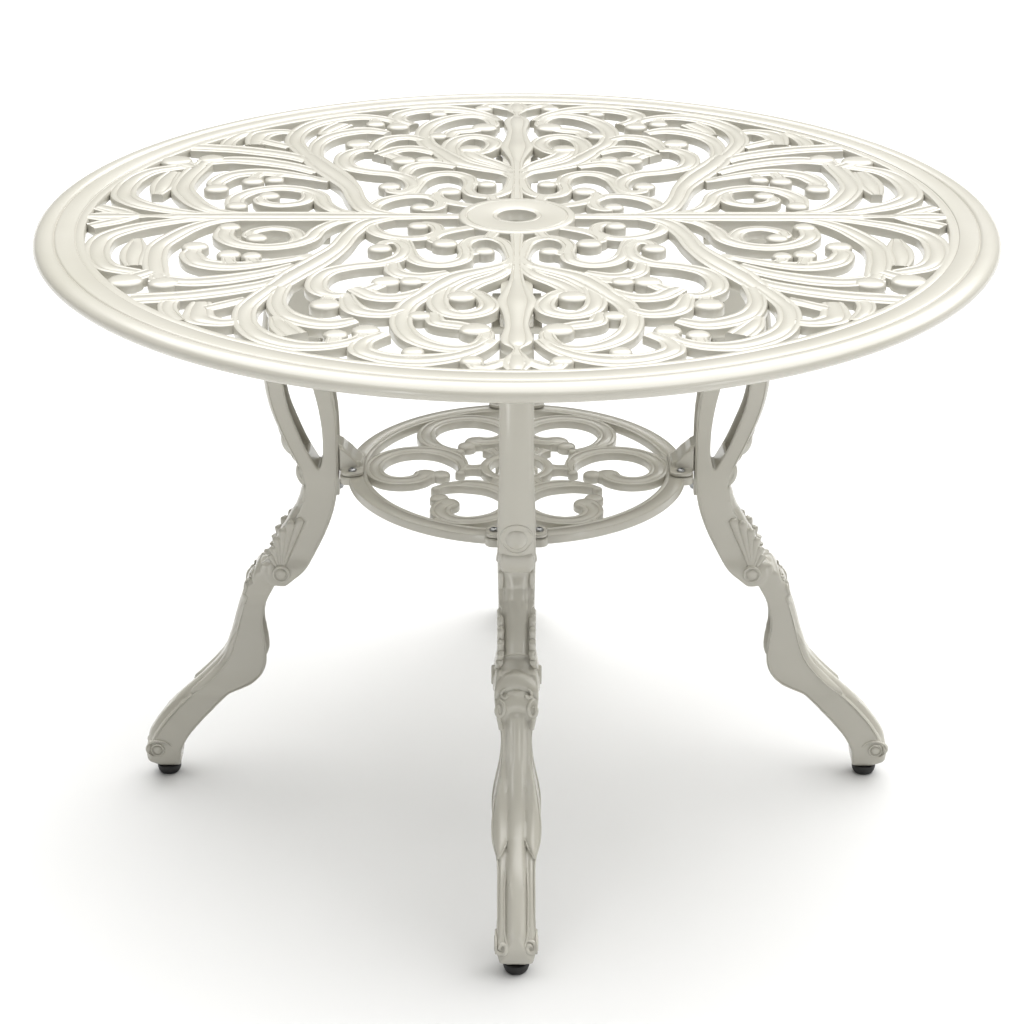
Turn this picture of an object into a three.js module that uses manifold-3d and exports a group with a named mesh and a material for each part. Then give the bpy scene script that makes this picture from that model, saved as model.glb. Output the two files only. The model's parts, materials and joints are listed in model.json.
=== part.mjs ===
import * as THREE from "three";
import { mergeVertices } from "three/addons/utils/BufferGeometryUtils.js";
import Module from "manifold-3d";

const wasm = await Module();
wasm.setup();

// Round cast-aluminium patio table with a pierced scroll top. Millimetres, +Z up, floor at zero.

// Overall sizes
const tableHeight = 715;
const tableRadius = 535;
const seatGap = 0.3;
const footReachShare = 0.8406;
const legCount = 4;
const quarterTurn = Math.PI / 2;
const cornerFacets = 3;

// Tabletop casting
const rimWidth = 55;
const latticeRadius = tableRadius - rimWidth;
const latticeThickness = 10;
const latticeDrop = 2;
const latticeOverlap = 3;
const scrollTurnStep = 1.3;
const scrollRunShare = 0.625;
const scrollProbes = 60;
const rimFacets = 44;
const rollThickness = 19;
const rollRise = 9;
const rollShoulder = 1;
const rollCrownInset = 15;
const rollCornerInset = 6;
const grooveInset = 23.5;
const grooveDepth = 2.4;
const bandDrop = 1.2;
const bandOuterInset = 25.5;
const bandInnerInset = 46;
const stepInset = 48;
const rimUnderInset = 30;

// Umbrella hub
const umbrellaHoleRadius = 21.5;
const hubRadius = 66;
const hubThickness = 13;
const hubGrooveRadius = 56.5;
const hubGrooveHalf = 1.2;
const hubGrooveDepth = 1.4;
const hubDiscDrop = 1;
const hubEdge = 2;
const hubFacets = 24;

// Leg frame: tables give a place in the leg as shares of its spread and of its rise
const toeShare = 0.629;
const legSpread = (footReachShare * tableRadius) / toeShare;
const legFaceShare = 0.289;
const legFaceOut = legFaceShare * legSpread;

// Pads under the lattice that the legs bolt to
const padMargin = 2;
const padHalfWidth = 17;
const padThickness = 8;

// Leg casting
const legWidth = 44;
const legWall = 5;
const legFlangeHalfWidth = 26;
const legFlangeThickness = 8;
const legFlangeSet = 1.4;
const legFlangeLength = 106;
const legFlangeInner = legFaceOut + legFlangeSet;
const legFlangeOuter = legFlangeInner + legFlangeLength;
const kneeEyeRadius = 11;
const kneeEyeProud = 2.5;
const kneeEyeShares = [0.3888, 0.3916];
const footEyeRadius = 9;
const footEyeShares = [0.6126, 0.0559];
const footEyeProud = 1.8;
const capRadius = 18;
const capShares = [0.3441, 0.5804];
const capSquashShare = 0.8;
const rollBeadRadius = 9.5;
const rollBeadShares = [0.3455, 0.5399];
const rollBeadProud = 0.6;
const roundFacets = 10;
const knobCornerShare = 0.87;

// Leg-top bolts
const boltInnerSet = 13;
const boltOuterSet = 15;
const boltInnerOut = legFlangeInner + boltInnerSet;
const boltOuterOut = legFlangeOuter - boltOuterSet;
const boltRadius = 3.7;
const boltHoleRadius = 4.2;
const boltHeadRadius = 7.2;
const boltHeadThickness = 5;
const boltReach = 10;
const boltHoleDepth = 12;
const hexSides = 6;
const shankFacets = 6;

// Foot glides
const glideRadius = 13.5;
const glideHeight = 12;
const glideLipRadius = 14.5;
const glideLipHeight = 7.5;
const glideBaseRadius = 11.8;
const glideStemRadius = 4;
const glideStemHoleRadius = 5;
const glideStemRise = 12;
const glideOutShare = 0.5986;
const glideFacets = 12;

// Pierced shelf
const shelfHeightShare = 0.57086;
const shelfThickness = 10;
const shelfRimWidth = 22;
const shelfFacets = 44;
const shelfEyeFacets = 18;
const shelfEyeInner = 31;
const shelfEyeOuter = 43;
const loopEyeGap = 20;
const loopRimGap = 8;
const loopCurlShare = 0.62;
const loopCurlStartShare = 0.74;
const loopCurlPower = 1.5;
const loopSteps = 14;
const loopTurnStep = 0.55;
const loopCount = 6;
const loopTurns = [[0, 3.4, -5.4], [60, -2.4, 5.6], [-60, 1.9, 5.3]];
const loopHalfWidth = 11;
const curlBallRadius = 9.5;
const stemHalfWidth = 7.5;
const stemOverlap = 4;
const lugClearance = 1.6;
const lugLength = 25;
const lugProud = 8;
const lugHalfWidth = 35;
const lugCorner = 9;

// Shelf brackets
const bracketPlateThickness = 5;
const bracketPlateLength = 27;
const bracketPlateSet = 3;
const bracketPlateHalf = 34;
const bracketPlateCorner = 12;
const bracketNoseLength = 26;
const bracketNoseRise = 13;
const bracketSlopeSet = 4;
const bracketSlopeRise = 31;
const bracketFaceSet = 0.4;
const bracketFlangeDepth = 24;

// Shelf screws and bracket bolts
const screwSet = 13.5;
const screwAside = 25;
const screwRadius = 2.4;
const screwHoleRadius = 2.8;
const screwHeadRadius = 5;
const screwHeadThickness = 2.6;
const screwLength = 14;
const bracketBoltShare = 0.5399;
const bracketBoltRadius = 3.2;
const bracketBoltHoleRadius = 3.6;
const bracketBoltHeadRadius = 6.2;
const bracketBoltHeadThickness = 4.2;
const bracketBoltBite = 7.7;
const bracketBoltSeatShare = 0.3161;
const bracketBoltHoleDepth = 10;

const latticeTop = tableHeight - latticeDrop;
const latticeBase = latticeTop - latticeThickness;
const padBase = latticeBase - padThickness;
const flangeTop = padBase - seatGap;
const flangeBase = flangeTop - legFlangeThickness;
const soleShare = 0.0172;
const legTopShare = 0.972;
const soleHeight = glideHeight + seatGap;
const legRise = (flangeTop - soleHeight) / (legTopShare - soleShare);
const legOut = (share) => share * legSpread;
const legHeight = (share) => soleHeight + (share - soleShare) * legRise;
const glideOut = legOut(glideOutShare);
const shelfTop = legHeight(shelfHeightShare);
const shelfBase = shelfTop - shelfThickness;
const bracketBase = shelfTop + seatGap;
const lugReach = legFaceOut - lugClearance;
const lugInner = lugReach - lugLength;
const shelfOuterRadius = lugReach - lugProud;
const shelfInnerRadius = shelfOuterRadius - shelfRimWidth;
const loopRadius = (shelfInnerRadius - loopRimGap - shelfEyeOuter - loopEyeGap) / 2;
const loopOut = shelfEyeOuter + loopEyeGap + loopRadius;
const bracketFaceOut = legFaceOut + bracketFaceSet;
const bracketNoseOut = bracketFaceOut - bracketNoseLength;
const bracketSlopeOut = bracketFaceOut - bracketSlopeSet;
const bracketPlateOuter = bracketFaceOut - bracketPlateSet;
const bracketPlateInner = bracketPlateOuter - bracketPlateLength;
const screwOut = bracketPlateOuter - screwSet;
const bracketBoltHeight = legHeight(bracketBoltShare);
const bracketBoltSeat = legOut(bracketBoltSeatShare);
const bracketBoltLength = bracketBoltSeat + bracketBoltBite - bracketFaceOut + seatGap;
const armWidthShare = 0.84;
const bracketHalfWidth = (legWidth / 2) * armWidthShare - legWall - seatGap;

// Scrolls of one quarter of the lattice: centre-lines from the leg axis (u) to the next axis (v),
// their half widths, and the knob at the end, all as shares of the lattice radius.
const quarterScrollShares = [
  // Trunk that leaves the stem near the hub, forks and runs out to the rim
  { way: [[0.27, 0], [0.345, 0.045], [0.38, 0.13], [0.402, 0.23], [0.44, 0.325], [0.485, 0.415], [0.52, 0.5]], half:
    [0.016, 0.026, 0.024, 0.026, 0.034, 0.034, 0.028] },
  { way: [[0.5, 0.44], [0.545, 0.55], [0.57, 0.64], [0.56, 0.735], [0.52, 0.81], [0.45, 0.86], [0.38, 0.862], [0.325,
    0.825]], half: [0.02, 0.023, 0.025, 0.026, 0.03, 0.03, 0.024, 0.018], knob: 0.03, knobAt: [0.31, 0.772] },
  { way: [[0.49, 0.4], [0.503, 0.48], [0.51, 0.56], [0.505, 0.62], [0.48, 0.68], [0.435, 0.72], [0.385, 0.735],
    [0.335, 0.71]], half: [0.018, 0.02, 0.02, 0.022, 0.027, 0.03, 0.03, 0.018] },
  { way: [[0.505, 0.69], [0.485, 0.745], [0.455, 0.8]], half: [0.012, 0.026, 0.03] },
  { way: [[0.375, 0.85], [0.372, 0.82]], half: [0.016, 0.016], knob: 0.026, knobAt: [0.371, 0.797] },
  // Arcs that run out of the straight stem and fold back on the trunk
  { way: [[0.72, 0.01], [0.8, 0.04], [0.88, 0.085], [0.935, 0.15], [0.945, 0.225], [0.93, 0.31], [0.895, 0.37],
    [0.83, 0.405]], half: [0.016, 0.022, 0.028, 0.03, 0.03, 0.028, 0.026, 0.022] },
  { way: [[0.62, 0.01], [0.7, 0.038], [0.748, 0.085], [0.782, 0.15], [0.807, 0.223], [0.806, 0.3], [0.795, 0.37],
    [0.78, 0.43]], half: [0.014, 0.02, 0.025, 0.028, 0.028, 0.028, 0.028, 0.024] },
  { way: [[0.49, 0.355], [0.54, 0.4], [0.6, 0.435], [0.66, 0.458], [0.72, 0.465], [0.79, 0.44]], half: [0.02, 0.025,
    0.03, 0.033, 0.03, 0.028] },
  { way: [[0.845, 0.36], [0.855, 0.3], [0.858, 0.24], [0.862, 0.17]], half: [0.018, 0.028, 0.03, 0.012] },
  { way: [[0.35, 0.01], [0.42, 0.045], [0.455, 0.1], [0.472, 0.165], [0.51, 0.21], [0.57, 0.228], [0.63, 0.205],
    [0.668, 0.15], [0.668, 0.09]], half: [0.012, 0.018, 0.02, 0.022, 0.023, 0.023, 0.023, 0.024, 0.022], knob: 0.027,
    knobAt: [0.662, 0.082] },
  { way: [[0.505, 0.2], [0.497, 0.15], [0.515, 0.105], [0.56, 0.088], [0.6, 0.108], [0.612, 0.14]], half: [0.016,
    0.018, 0.018, 0.018, 0.018, 0.016], knob: 0.026, knobAt: [0.592, 0.162] },
  { way: [[0.455, 0.285], [0.57, 0.345], [0.64, 0.36], [0.7, 0.335], [0.728, 0.28], [0.727, 0.25]], half: [0.014,
    0.024, 0.032, 0.03, 0.026, 0.02], knob: 0.031, knobAt: [0.725, 0.222] },
  { way: [[0.63, 0.35], [0.64, 0.32]], half: [0.016, 0.016], knob: 0.028, knobAt: [0.643, 0.281] },
  { way: [[0.575, 0.335], [0.587, 0.32]], half: [0.014, 0.014], knob: 0.024, knobAt: [0.591, 0.293] },
  // Branch toward the rim with its balls and leaves
  { way: [[0.52, 0.455], [0.55, 0.487], [0.6, 0.517], [0.66, 0.543], [0.72, 0.562], [0.82, 0.58]], half: [0.02,
    0.026, 0.03, 0.032, 0.032, 0.034] },
  { way: [[0.8, 0.4], [0.825, 0.425]], half: [0.022, 0.026], knob: 0.04, knobAt: [0.85, 0.457] },
  { way: [[0.785, 0.42], [0.775, 0.445]], half: [0.022, 0.024], knob: 0.034, knobAt: [0.764, 0.473] },
  { way: [[0.715, 0.55], [0.737, 0.6], [0.73, 0.655], [0.7, 0.715]], half: [0.016, 0.02, 0.02, 0.016] },
  { way: [[0.575, 0.58], [0.615, 0.61], [0.655, 0.64]], half: [0.018, 0.02, 0.02] },
  { way: [[0.668, 0.6], [0.668, 0.65], [0.658, 0.7], [0.61, 0.725], [0.56, 0.705]], half: [0.022, 0.03, 0.034, 0.024,
    0.016] },
  // Curls round the hub
  { way: [[0.335, 0.02], [0.335, 0.085], [0.308, 0.135], [0.26, 0.163], [0.212, 0.158], [0.182, 0.12], [0.186,
    0.072], [0.21, 0.052]], half: [0.014, 0.018, 0.02, 0.02, 0.018, 0.016, 0.015, 0.012], knob: 0.025, knobAt:
    [0.228, 0.072] },
  { way: [[0.07, 0.057], [0.148, 0.105], [0.182, 0.138], [0.19, 0.178]], half: [0.016, 0.017, 0.016, 0.014],
    knob: 0.03, knobAt: [0.163, 0.2] },
  { way: [[0.008, 0.35], [0.014, 0.27], [0.028, 0.195], [0.062, 0.158], [0.1, 0.17], [0.118, 0.213], [0.113, 0.265],
    [0.122, 0.318], [0.16, 0.35], [0.203, 0.34], [0.232, 0.3], [0.243, 0.25], [0.252, 0.2], [0.262, 0.16]], half:
    [0.012, 0.014, 0.015, 0.016, 0.016, 0.016, 0.017, 0.02, 0.021, 0.021, 0.02, 0.018, 0.018, 0.016] },
  { way: [[0.105, 0.275], [0.092, 0.265]], half: [0.014, 0.014], knob: 0.024, knobAt: [0.073, 0.257] },
  { way: [[0.065, 0.165], [0.055, 0.13], [0.045, 0.1]], half: [0.014, 0.014, 0.014] },
  // S-scroll between the trunk and the spindle
  { way: [[0.36, 0.555], [0.398, 0.553], [0.428, 0.515], [0.433, 0.455], [0.412, 0.398], [0.36, 0.362], [0.3, 0.342],
    [0.262, 0.3], [0.252, 0.24], [0.27, 0.195], [0.3, 0.197]], half: [0.016, 0.02, 0.024, 0.024, 0.024, 0.023, 0.022,
    0.021, 0.018, 0.014, 0.014], knob: 0.028, knobAt: [0.308, 0.238] },
  { way: [[0.365, 0.55], [0.357, 0.59], [0.345, 0.632], [0.32, 0.662], [0.275, 0.672], [0.24, 0.645]], half: [0.016,
    0.02, 0.026, 0.027, 0.024, 0.018] },
  { way: [[0.4, 0.56], [0.402, 0.585]], half: [0.016, 0.016], knob: 0.034, knobAt: [0.405, 0.612] },
  { way: [[0.275, 0.34], [0.268, 0.392], [0.24, 0.424], [0.2, 0.43], [0.15, 0.405]], half: [0.016, 0.022, 0.026,
    0.024, 0.018] },
  // Arms of the spindle
  { way: [[0.005, 0.3], [0.03, 0.355], [0.085, 0.395], [0.13, 0.43], [0.16, 0.475], [0.195, 0.545], [0.228, 0.61],
    [0.24, 0.68], [0.237, 0.745], [0.215, 0.81], [0.172, 0.86], [0.12, 0.88], [0.078, 0.855], [0.062, 0.79]], half:
    [0.012, 0.018, 0.026, 0.032, 0.032, 0.026, 0.025, 0.024, 0.024, 0.025, 0.024, 0.022, 0.019, 0.016], knob: 0.035,
    knobAt: [0.085, 0.765] },
  { way: [[0.01, 0.36], [0.045, 0.425], [0.09, 0.475], [0.118, 0.525]], half: [0.014, 0.022, 0.026, 0.026], knob:
    0.033, knobAt: [0.119, 0.562] },
  { way: [[0.15, 0.46], [0.165, 0.53], [0.168, 0.6], [0.15, 0.655], [0.112, 0.68], [0.072, 0.658], [0.058, 0.61],
    [0.078, 0.548], [0.105, 0.52]], half: [0.016, 0.022, 0.024, 0.024, 0.024, 0.023, 0.022, 0.016, 0.014] },
  { way: [[0.175, 0.665], [0.165, 0.72], [0.125, 0.74], [0.1, 0.75]], half: [0.016, 0.022, 0.025, 0.02] },
  { way: [[0.24, 0.675], [0.225, 0.68]], half: [0.016, 0.016], knob: 0.026, knobAt: [0.203, 0.683] },
  { way: [[0.35, 0.506], [0.3285, 0.53], [0.304, 0.56], [0.267, 0.57], [0.231, 0.5545], [0.2, 0.524]], half: [0.02,
    0.026, 0.027, 0.027, 0.025, 0.02] },
  { way: [[0.33, 0.525], [0.305, 0.495]], half: [0.02, 0.02], knob: 0.032, knobAt: [0.284, 0.463] },
  // Outer arc and curls beside the rim
  { way: [[0.185, 0.455], [0.205, 0.46]], half: [0.016, 0.016], knob: 0.027, knobAt: [0.229, 0.464] },
  { way: [[0.27, 0.79], [0.31, 0.835], [0.312, 0.89], [0.262, 0.932], [0.195, 0.945], [0.128, 0.925], [0.078, 0.88],
    [0.048, 0.825]], half: [0.016, 0.022, 0.027, 0.03, 0.036, 0.028, 0.02, 0.014] },
  { way: [[0.207, 0.935], [0.208, 0.915]], half: [0.015, 0.015], knob: 0.024, knobAt: [0.209, 0.896] },
  { way: [[0, 0.93], [0.035, 0.962], [0.07, 0.985]], half: [0.014, 0.018, 0.02], knob: 0.025, knobAt: [0.09, 0.948]
    },
];

// Straight stem on the two leg axes that lie left and right, and spindle on the other two
const stemHalfShares = [[0.1, 0.02], [0.2, 0.022], [0.3, 0.03], [0.45, 0.035], [0.62, 0.036], [0.74, 0.03], [0.84, 0.012],
  [0.88, 0.016], [0.92, 0.03], [0.965, 0.034], [1.0, 0.02]];
const stemLobeShares = { way: [[0.885, 0.0], [0.93, 0.035], [0.985, 0.075]], half: [0.014, 0.026, 0.022] };
const spindleHalfShares = [[0.1, 0.018], [0.2, 0.014], [0.3, 0.012], [0.4, 0.014], [0.47, 0.02], [0.53, 0.032], [0.59, 0.043],
  [0.66, 0.032], [0.74, 0.026], [0.81, 0.034], [0.85, 0.03], [0.885, 0.008], [0.93, 0.026], [0.97, 0.032], [1.0, 0.02]];

// Leg outline in its radial plane: distance from the axis and height, as shares of the leg's spread and rise
const legOuterShares = [[0.375, 0.972], [0.385, 0.92], [0.397, 0.86], [0.405, 0.795], [0.405, 0.735], [0.399, 0.69],
  [0.388, 0.654], [0.372, 0.615], [0.353, 0.575], [0.34, 0.54], [0.335, 0.515], [0.337, 0.5]];
const legShellShares = [[0.352, 0.494], [0.366, 0.487], [0.376, 0.474], [0.389, 0.462], [0.396, 0.445], [0.4, 0.427],
  [0.402, 0.414]];
const legShinShares = [[0.419, 0.403], [0.438, 0.372], [0.455, 0.336], [0.467, 0.297], [0.477, 0.259], [0.488, 0.231],
  [0.509, 0.204], [0.54, 0.173], [0.572, 0.143], [0.601, 0.109], [0.621, 0.078], [0.629, 0.056], [0.628, 0.037],
  [0.619, 0.024]];
const legHeelShares = [[0.613, 0.0172], [0.581, 0.0172], [0.575, 0.03], [0.572, 0.053], [0.56, 0.078], [0.538, 0.106],
  [0.51, 0.137], [0.483, 0.165], [0.459, 0.179], [0.441, 0.19], [0.426, 0.207], [0.419, 0.231], [0.421, 0.262],
  [0.424, 0.294], [0.418, 0.329], [0.406, 0.357], [0.393, 0.372]];
const legInnerShares = [[0.379, 0.372], [0.35, 0.396], [0.329, 0.431], [0.311, 0.469], [0.299, 0.504], [0.292, 0.54],
  [0.289, 0.573], [0.289, 0.608], [0.289, 0.643], [0.291, 0.678], [0.296, 0.713], [0.305, 0.762], [0.316, 0.818],
  [0.324, 0.874], [0.33, 0.923], [0.334, 0.972]];
const legLoopShares = [[0.321, 0.572], [0.3145, 0.6], [0.3145, 0.64], [0.3195, 0.68], [0.327, 0.715], [0.335, 0.75],
  [0.342, 0.785], [0.348, 0.815], [0.354, 0.835], [0.3635, 0.815], [0.3715, 0.785], [0.375, 0.75], [0.3735, 0.715],
  [0.367, 0.68], [0.355, 0.645], [0.341, 0.61]];

// Width of the leg at heights down its length, as shares of its rise and of its nominal width
const legWidthShares = [[0, 0.93], [0.05, 0.97], [0.12, 0.86], [0.155, 0.88], [0.18, 1.08], [0.23, 1.12], [0.31, 0.82],
  [0.35, 0.78], [0.385, 1.08], [0.43, 1.12], [0.5, 0.92], [0.56, 0.84], [1, 0.84]];

// Hollow of the channel behind the leg's face, drawn past its open inner side
const shinHollowShares = [[0.42, 0.392], [0.451, 0.315], [0.472, 0.24], [0.512, 0.188], [0.574, 0.122], [0.586, 0.09],
  [0.53, 0.06], [0.4, 0.16], [0.398, 0.33], [0.33, 0.34], [0.27, 0.44], [0.26, 0.8], [0.3, 0.935], [0.327, 0.935],
  [0.334, 0.83], [0.318, 0.74], [0.307, 0.68], [0.305, 0.64], [0.307, 0.6], [0.315, 0.555], [0.326, 0.505],
  [0.347, 0.465], [0.376, 0.43]];
const armHollowShares = [[0.343, 0.6], [0.357, 0.6], [0.382, 0.655], [0.394, 0.71], [0.3975, 0.77], [0.39, 0.855],
  [0.37, 0.935], [0.348, 0.935], [0.353, 0.83], [0.346, 0.755], [0.36, 0.74], [0.35, 0.675], [0.33, 0.615]];

// Back of the shelf bracket, which follows the floor of the leg's channel
const bracketBackShares = [[0.321, 0.527], [0.315, 0.555], [0.307, 0.6], [0.3058, 0.622]];

// Solids from closed geometry, and back
function solidOf(geometry) {
  const plain = geometry.index ? geometry : geometry.clone();
  plain.deleteAttribute("normal");
  plain.deleteAttribute("uv");
  const merged = mergeVertices(plain);
  return new wasm.Manifold(new wasm.Mesh({
    numProp: 3,
    vertProperties: new Float32Array(merged.attributes.position.array),
    triVerts: new Uint32Array(merged.index.array),
  }));
}

function joined(solids) {
  let level = solids;
  while (level.length > 1) {
    const next = [];
    for (let i = 0; i < level.length; i += 2) {
      next.push(i + 1 < level.length ? level[i].add(level[i + 1]) : level[i]);
    }
    level = next;
  }
  return level[0];
}

function geometryOf(solid) {
  const mesh = solid.getMesh();
  const geometry = new THREE.BufferGeometry();
  geometry.setAttribute("position", new THREE.BufferAttribute(mesh.vertProperties, mesh.numProp));
  geometry.setIndex(new THREE.BufferAttribute(mesh.triVerts, 1));
  const flat = geometry.toNonIndexed();
  flat.computeVertexNormals();
  return flat;
}

// Upright prism of a plan shape
function slab(shape, base, thickness) {
  const geometry = new THREE.ExtrudeGeometry(shape, { depth: thickness, bevelEnabled: false, curveSegments: cornerFacets });
  geometry.translate(0, 0, base);
  return solidOf(geometry);
}

// Plate standing in the radial plane, centred across it
function upright(shape, width) {
  const geometry = new THREE.ExtrudeGeometry(shape, { depth: width, bevelEnabled: false, curveSegments: cornerFacets });
  geometry.rotateX(quarterTurn);
  geometry.translate(0, width / 2, 0);
  return solidOf(geometry);
}

function disc(radius, thickness, x, y, base, facets) {
  const geometry = new THREE.CylinderGeometry(radius, radius, thickness, facets);
  geometry.rotateX(quarterTurn);
  geometry.translate(x, y, base + thickness / 2);
  return solidOf(geometry);
}

// Width share of the leg at a height
function widthShareAt(height) {
  const share = soleShare + (height - soleHeight) / legRise;
  const next = legWidthShares.findIndex(([rise]) => rise >= share);
  if (next < 0) return legWidthShares[legWidthShares.length - 1][1];
  if (next === 0) return legWidthShares[0][1];
  const [lowRise, lowWidth] = legWidthShares[next - 1];
  const [highRise, highWidth] = legWidthShares[next];
  return lowWidth + ((highWidth - lowWidth) * (share - lowRise)) / (highRise - lowRise);
}

// Front view of the leg as a prism along its radius, with its sides drawn in by an inset
function frontPrism(inset) {
  const side = legWidthShares.map(([rise, width]) => (
    new THREE.Vector2((legWidth / 2) * width - inset, legHeight(rise))));
  const far = side.map(({ x, y }) => new THREE.Vector2(-x, y)).reverse();
  const geometry = new THREE.ExtrudeGeometry(new THREE.Shape([...side, ...far]), { depth: 2 * legSpread, bevelEnabled: false });
  geometry.rotateX(quarterTurn);
  geometry.rotateZ(quarterTurn);
  return solidOf(geometry);
}

// Plate in the radial plane, cut to the front view
function waistedUpright(shape, inset) {
  return upright(shape, 2 * legWidth).intersect(frontPrism(inset));
}

// Cylinder lying across the leg
function crossPin(radius, halfLength, out, height, facets) {
  const geometry = new THREE.CylinderGeometry(radius, radius, 2 * halfLength, facets);
  geometry.translate(out, 0, height);
  return solidOf(geometry);
}

// Cylinder pointing away from the axis
function radialPin(radius, start, length, height, facets) {
  const geometry = new THREE.CylinderGeometry(radius, radius, length, facets);
  geometry.rotateZ(quarterTurn);
  geometry.translate(start + length / 2, 0, height);
  return solidOf(geometry);
}

function turned(profile, facets) {
  const geometry = new THREE.LatheGeometry(profile.map(([x, y]) => new THREE.Vector2(x, y)), facets);
  geometry.rotateX(quarterTurn);
  return solidOf(geometry);
}

function mixAlong(values, share) {
  const at = share * (values.length - 1);
  const low = Math.min(Math.floor(at), values.length - 2);
  return values[low] + (values[low + 1] - values[low]) * (at - low);
}

// Places along a smooth line, close together where it bends and far apart where it runs straight
function stations(line, turnStep) {
  const run = line.getLength();
  const reach = [0];
  for (let i = 1; i <= scrollProbes; i += 1) {
    const bend = line.getTangent((i - 1) / scrollProbes).angleTo(line.getTangent(i / scrollProbes));
    reach.push(reach[i - 1] + bend / turnStep + run / scrollProbes / (scrollRunShare * latticeRadius));
  }
  const count = Math.max(1, Math.round(reach[scrollProbes]));
  const places = [];
  for (let k = 0; k <= count; k += 1) {
    const goal = (reach[scrollProbes] * k) / count;
    let i = 1;
    while (i < scrollProbes && reach[i] < goal) i += 1;
    places.push((i - 1 + Math.min(1, (goal - reach[i - 1]) / (reach[i] - reach[i - 1]))) / scrollProbes);
  }
  return places;
}

// Flat scroll: a swelling band along a smooth centre-line, closed by a round knob where it has one
function scrollShape(way, half, knob, knobAt, turnStep = scrollTurnStep) {
  const line = new THREE.SplineCurve(way.map(([x, y]) => new THREE.Vector2(x, y)));
  const centre = knob ? new THREE.Vector2(...knobAt) : null;
  const left = [];
  const right = [];
  const addPair = (point, along, reach) => {
    left.push(new THREE.Vector2(point.x - along.y * reach, point.y + along.x * reach));
    right.push(new THREE.Vector2(point.x + along.y * reach, point.y - along.x * reach));
  };
  let last = line.getPoint(0);
  for (const share of stations(line, turnStep)) {
    const point = line.getPoint(share);
    if (centre && point.distanceTo(centre) < knob) break;
    addPair(point, line.getTangent(share), mixAlong(half, share));
    last = point;
  }
  if (centre) {
    const along = centre.clone().sub(last).normalize();
    addPair(centre.clone().addScaledVector(along, -knob / 2), along, knob * knobCornerShare);
    addPair(centre.clone().addScaledVector(along, knob / 2), along, knob * knobCornerShare);
    left.push(centre.clone().addScaledVector(along, knob));
  }
  return new THREE.Shape([...left, ...right.reverse()]);
}

function mirroredBand(halfShares) {
  const far = halfShares.map(([x, y]) => new THREE.Vector2(x * latticeRadius, y * latticeRadius));
  const near = halfShares.map(([x, y]) => new THREE.Vector2(x * latticeRadius, -y * latticeRadius)).reverse();
  return new THREE.Shape([...near, ...far]);
}

// Outline in the leg's plane from tables of shares
function legOutline(...shareLists) {
  return new THREE.Shape(shareLists.flat().map(([out, height]) => new THREE.Vector2(legOut(out), legHeight(height))));
}

function turnedCopies(solid, count) {
  const copies = [];
  for (let i = 0; i < count; i += 1) copies.push(solid.rotate([0, 0, (360 / count) * i]));
  return copies;
}

// Materials
function castPaint() {
  return new THREE.MeshStandardMaterial({ color: "#e9e5da", roughness: 0.42, metalness: 0.0 });
}

function blackPlastic() {
  return new THREE.MeshStandardMaterial({ color: "#161616", roughness: 0.55, metalness: 0.0 });
}

function brightSteel() {
  return new THREE.MeshStandardMaterial({ color: "#a9abac", roughness: 0.35, metalness: 1.0 });
}

const table = new THREE.Group();

function addPiece(name, solid, material, turn) {
  const mesh = new THREE.Mesh(geometryOf(solid), material);
  mesh.name = name;
  mesh.rotation.z = turn;
  table.add(mesh);
}

// Tabletop: rolled rim, flat band, umbrella hub, scroll lattice and four bolt pads in one casting
function rimSolid() {
  const top = tableHeight;
  return turned([
    [latticeRadius - latticeOverlap, latticeBase], [tableRadius - rimUnderInset, latticeBase],
    [tableRadius - rollCrownInset, top - rollThickness],
    [tableRadius - rollCornerInset, top - rollThickness + rollShoulder],
    [tableRadius, top - rollRise], [tableRadius - rollCornerInset, top - rollShoulder],
    [tableRadius - rollCrownInset, top],
    [tableRadius - grooveInset, top - grooveDepth], [tableRadius - bandOuterInset, top - bandDrop],
    [tableRadius - bandInnerInset, top - bandDrop],
    [tableRadius - stepInset, latticeTop], [latticeRadius - latticeOverlap, latticeTop], [latticeRadius - latticeOverlap, latticeBase],
  ], rimFacets);
}

function hubSolid() {
  const top = tableHeight - hubDiscDrop;
  return turned([
    [umbrellaHoleRadius, top - hubThickness], [hubRadius, top - hubThickness], [hubRadius, top - hubEdge],
    [hubGrooveRadius + hubGrooveHalf, top], [hubGrooveRadius, top - hubGrooveDepth], [hubGrooveRadius - hubGrooveHalf, top],
    [umbrellaHoleRadius, top], [umbrellaHoleRadius, top - hubThickness],
  ], hubFacets);
}

function latticeScrolls() {
  const solids = [];
  const sized = ([u, v], sx, sy) => [u * latticeRadius * sx, v * latticeRadius * sy];
  for (const [sx, sy] of [[1, 1], [1, -1], [-1, 1], [-1, -1]]) {
    for (const { way, half, knob, knobAt } of [...quarterScrollShares, stemLobeShares]) {
      const shape = scrollShape(
        way.map((place) => sized(place, sx, sy)), half.map((share) => share * latticeRadius),
        knob ? knob * latticeRadius : 0, knob ? sized(knobAt, sx, sy) : null,
      );
      solids.push(slab(shape, latticeBase, latticeThickness));
    }
  }
  const stem = slab(mirroredBand(stemHalfShares), latticeBase, latticeThickness);
  const spindle = slab(mirroredBand(spindleHalfShares), latticeBase, latticeThickness);
  solids.push(stem, stem.rotate([0, 0, 180]), spindle.rotate([0, 0, 90]), spindle.rotate([0, 0, 270]));
  return joined(solids);
}

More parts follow.
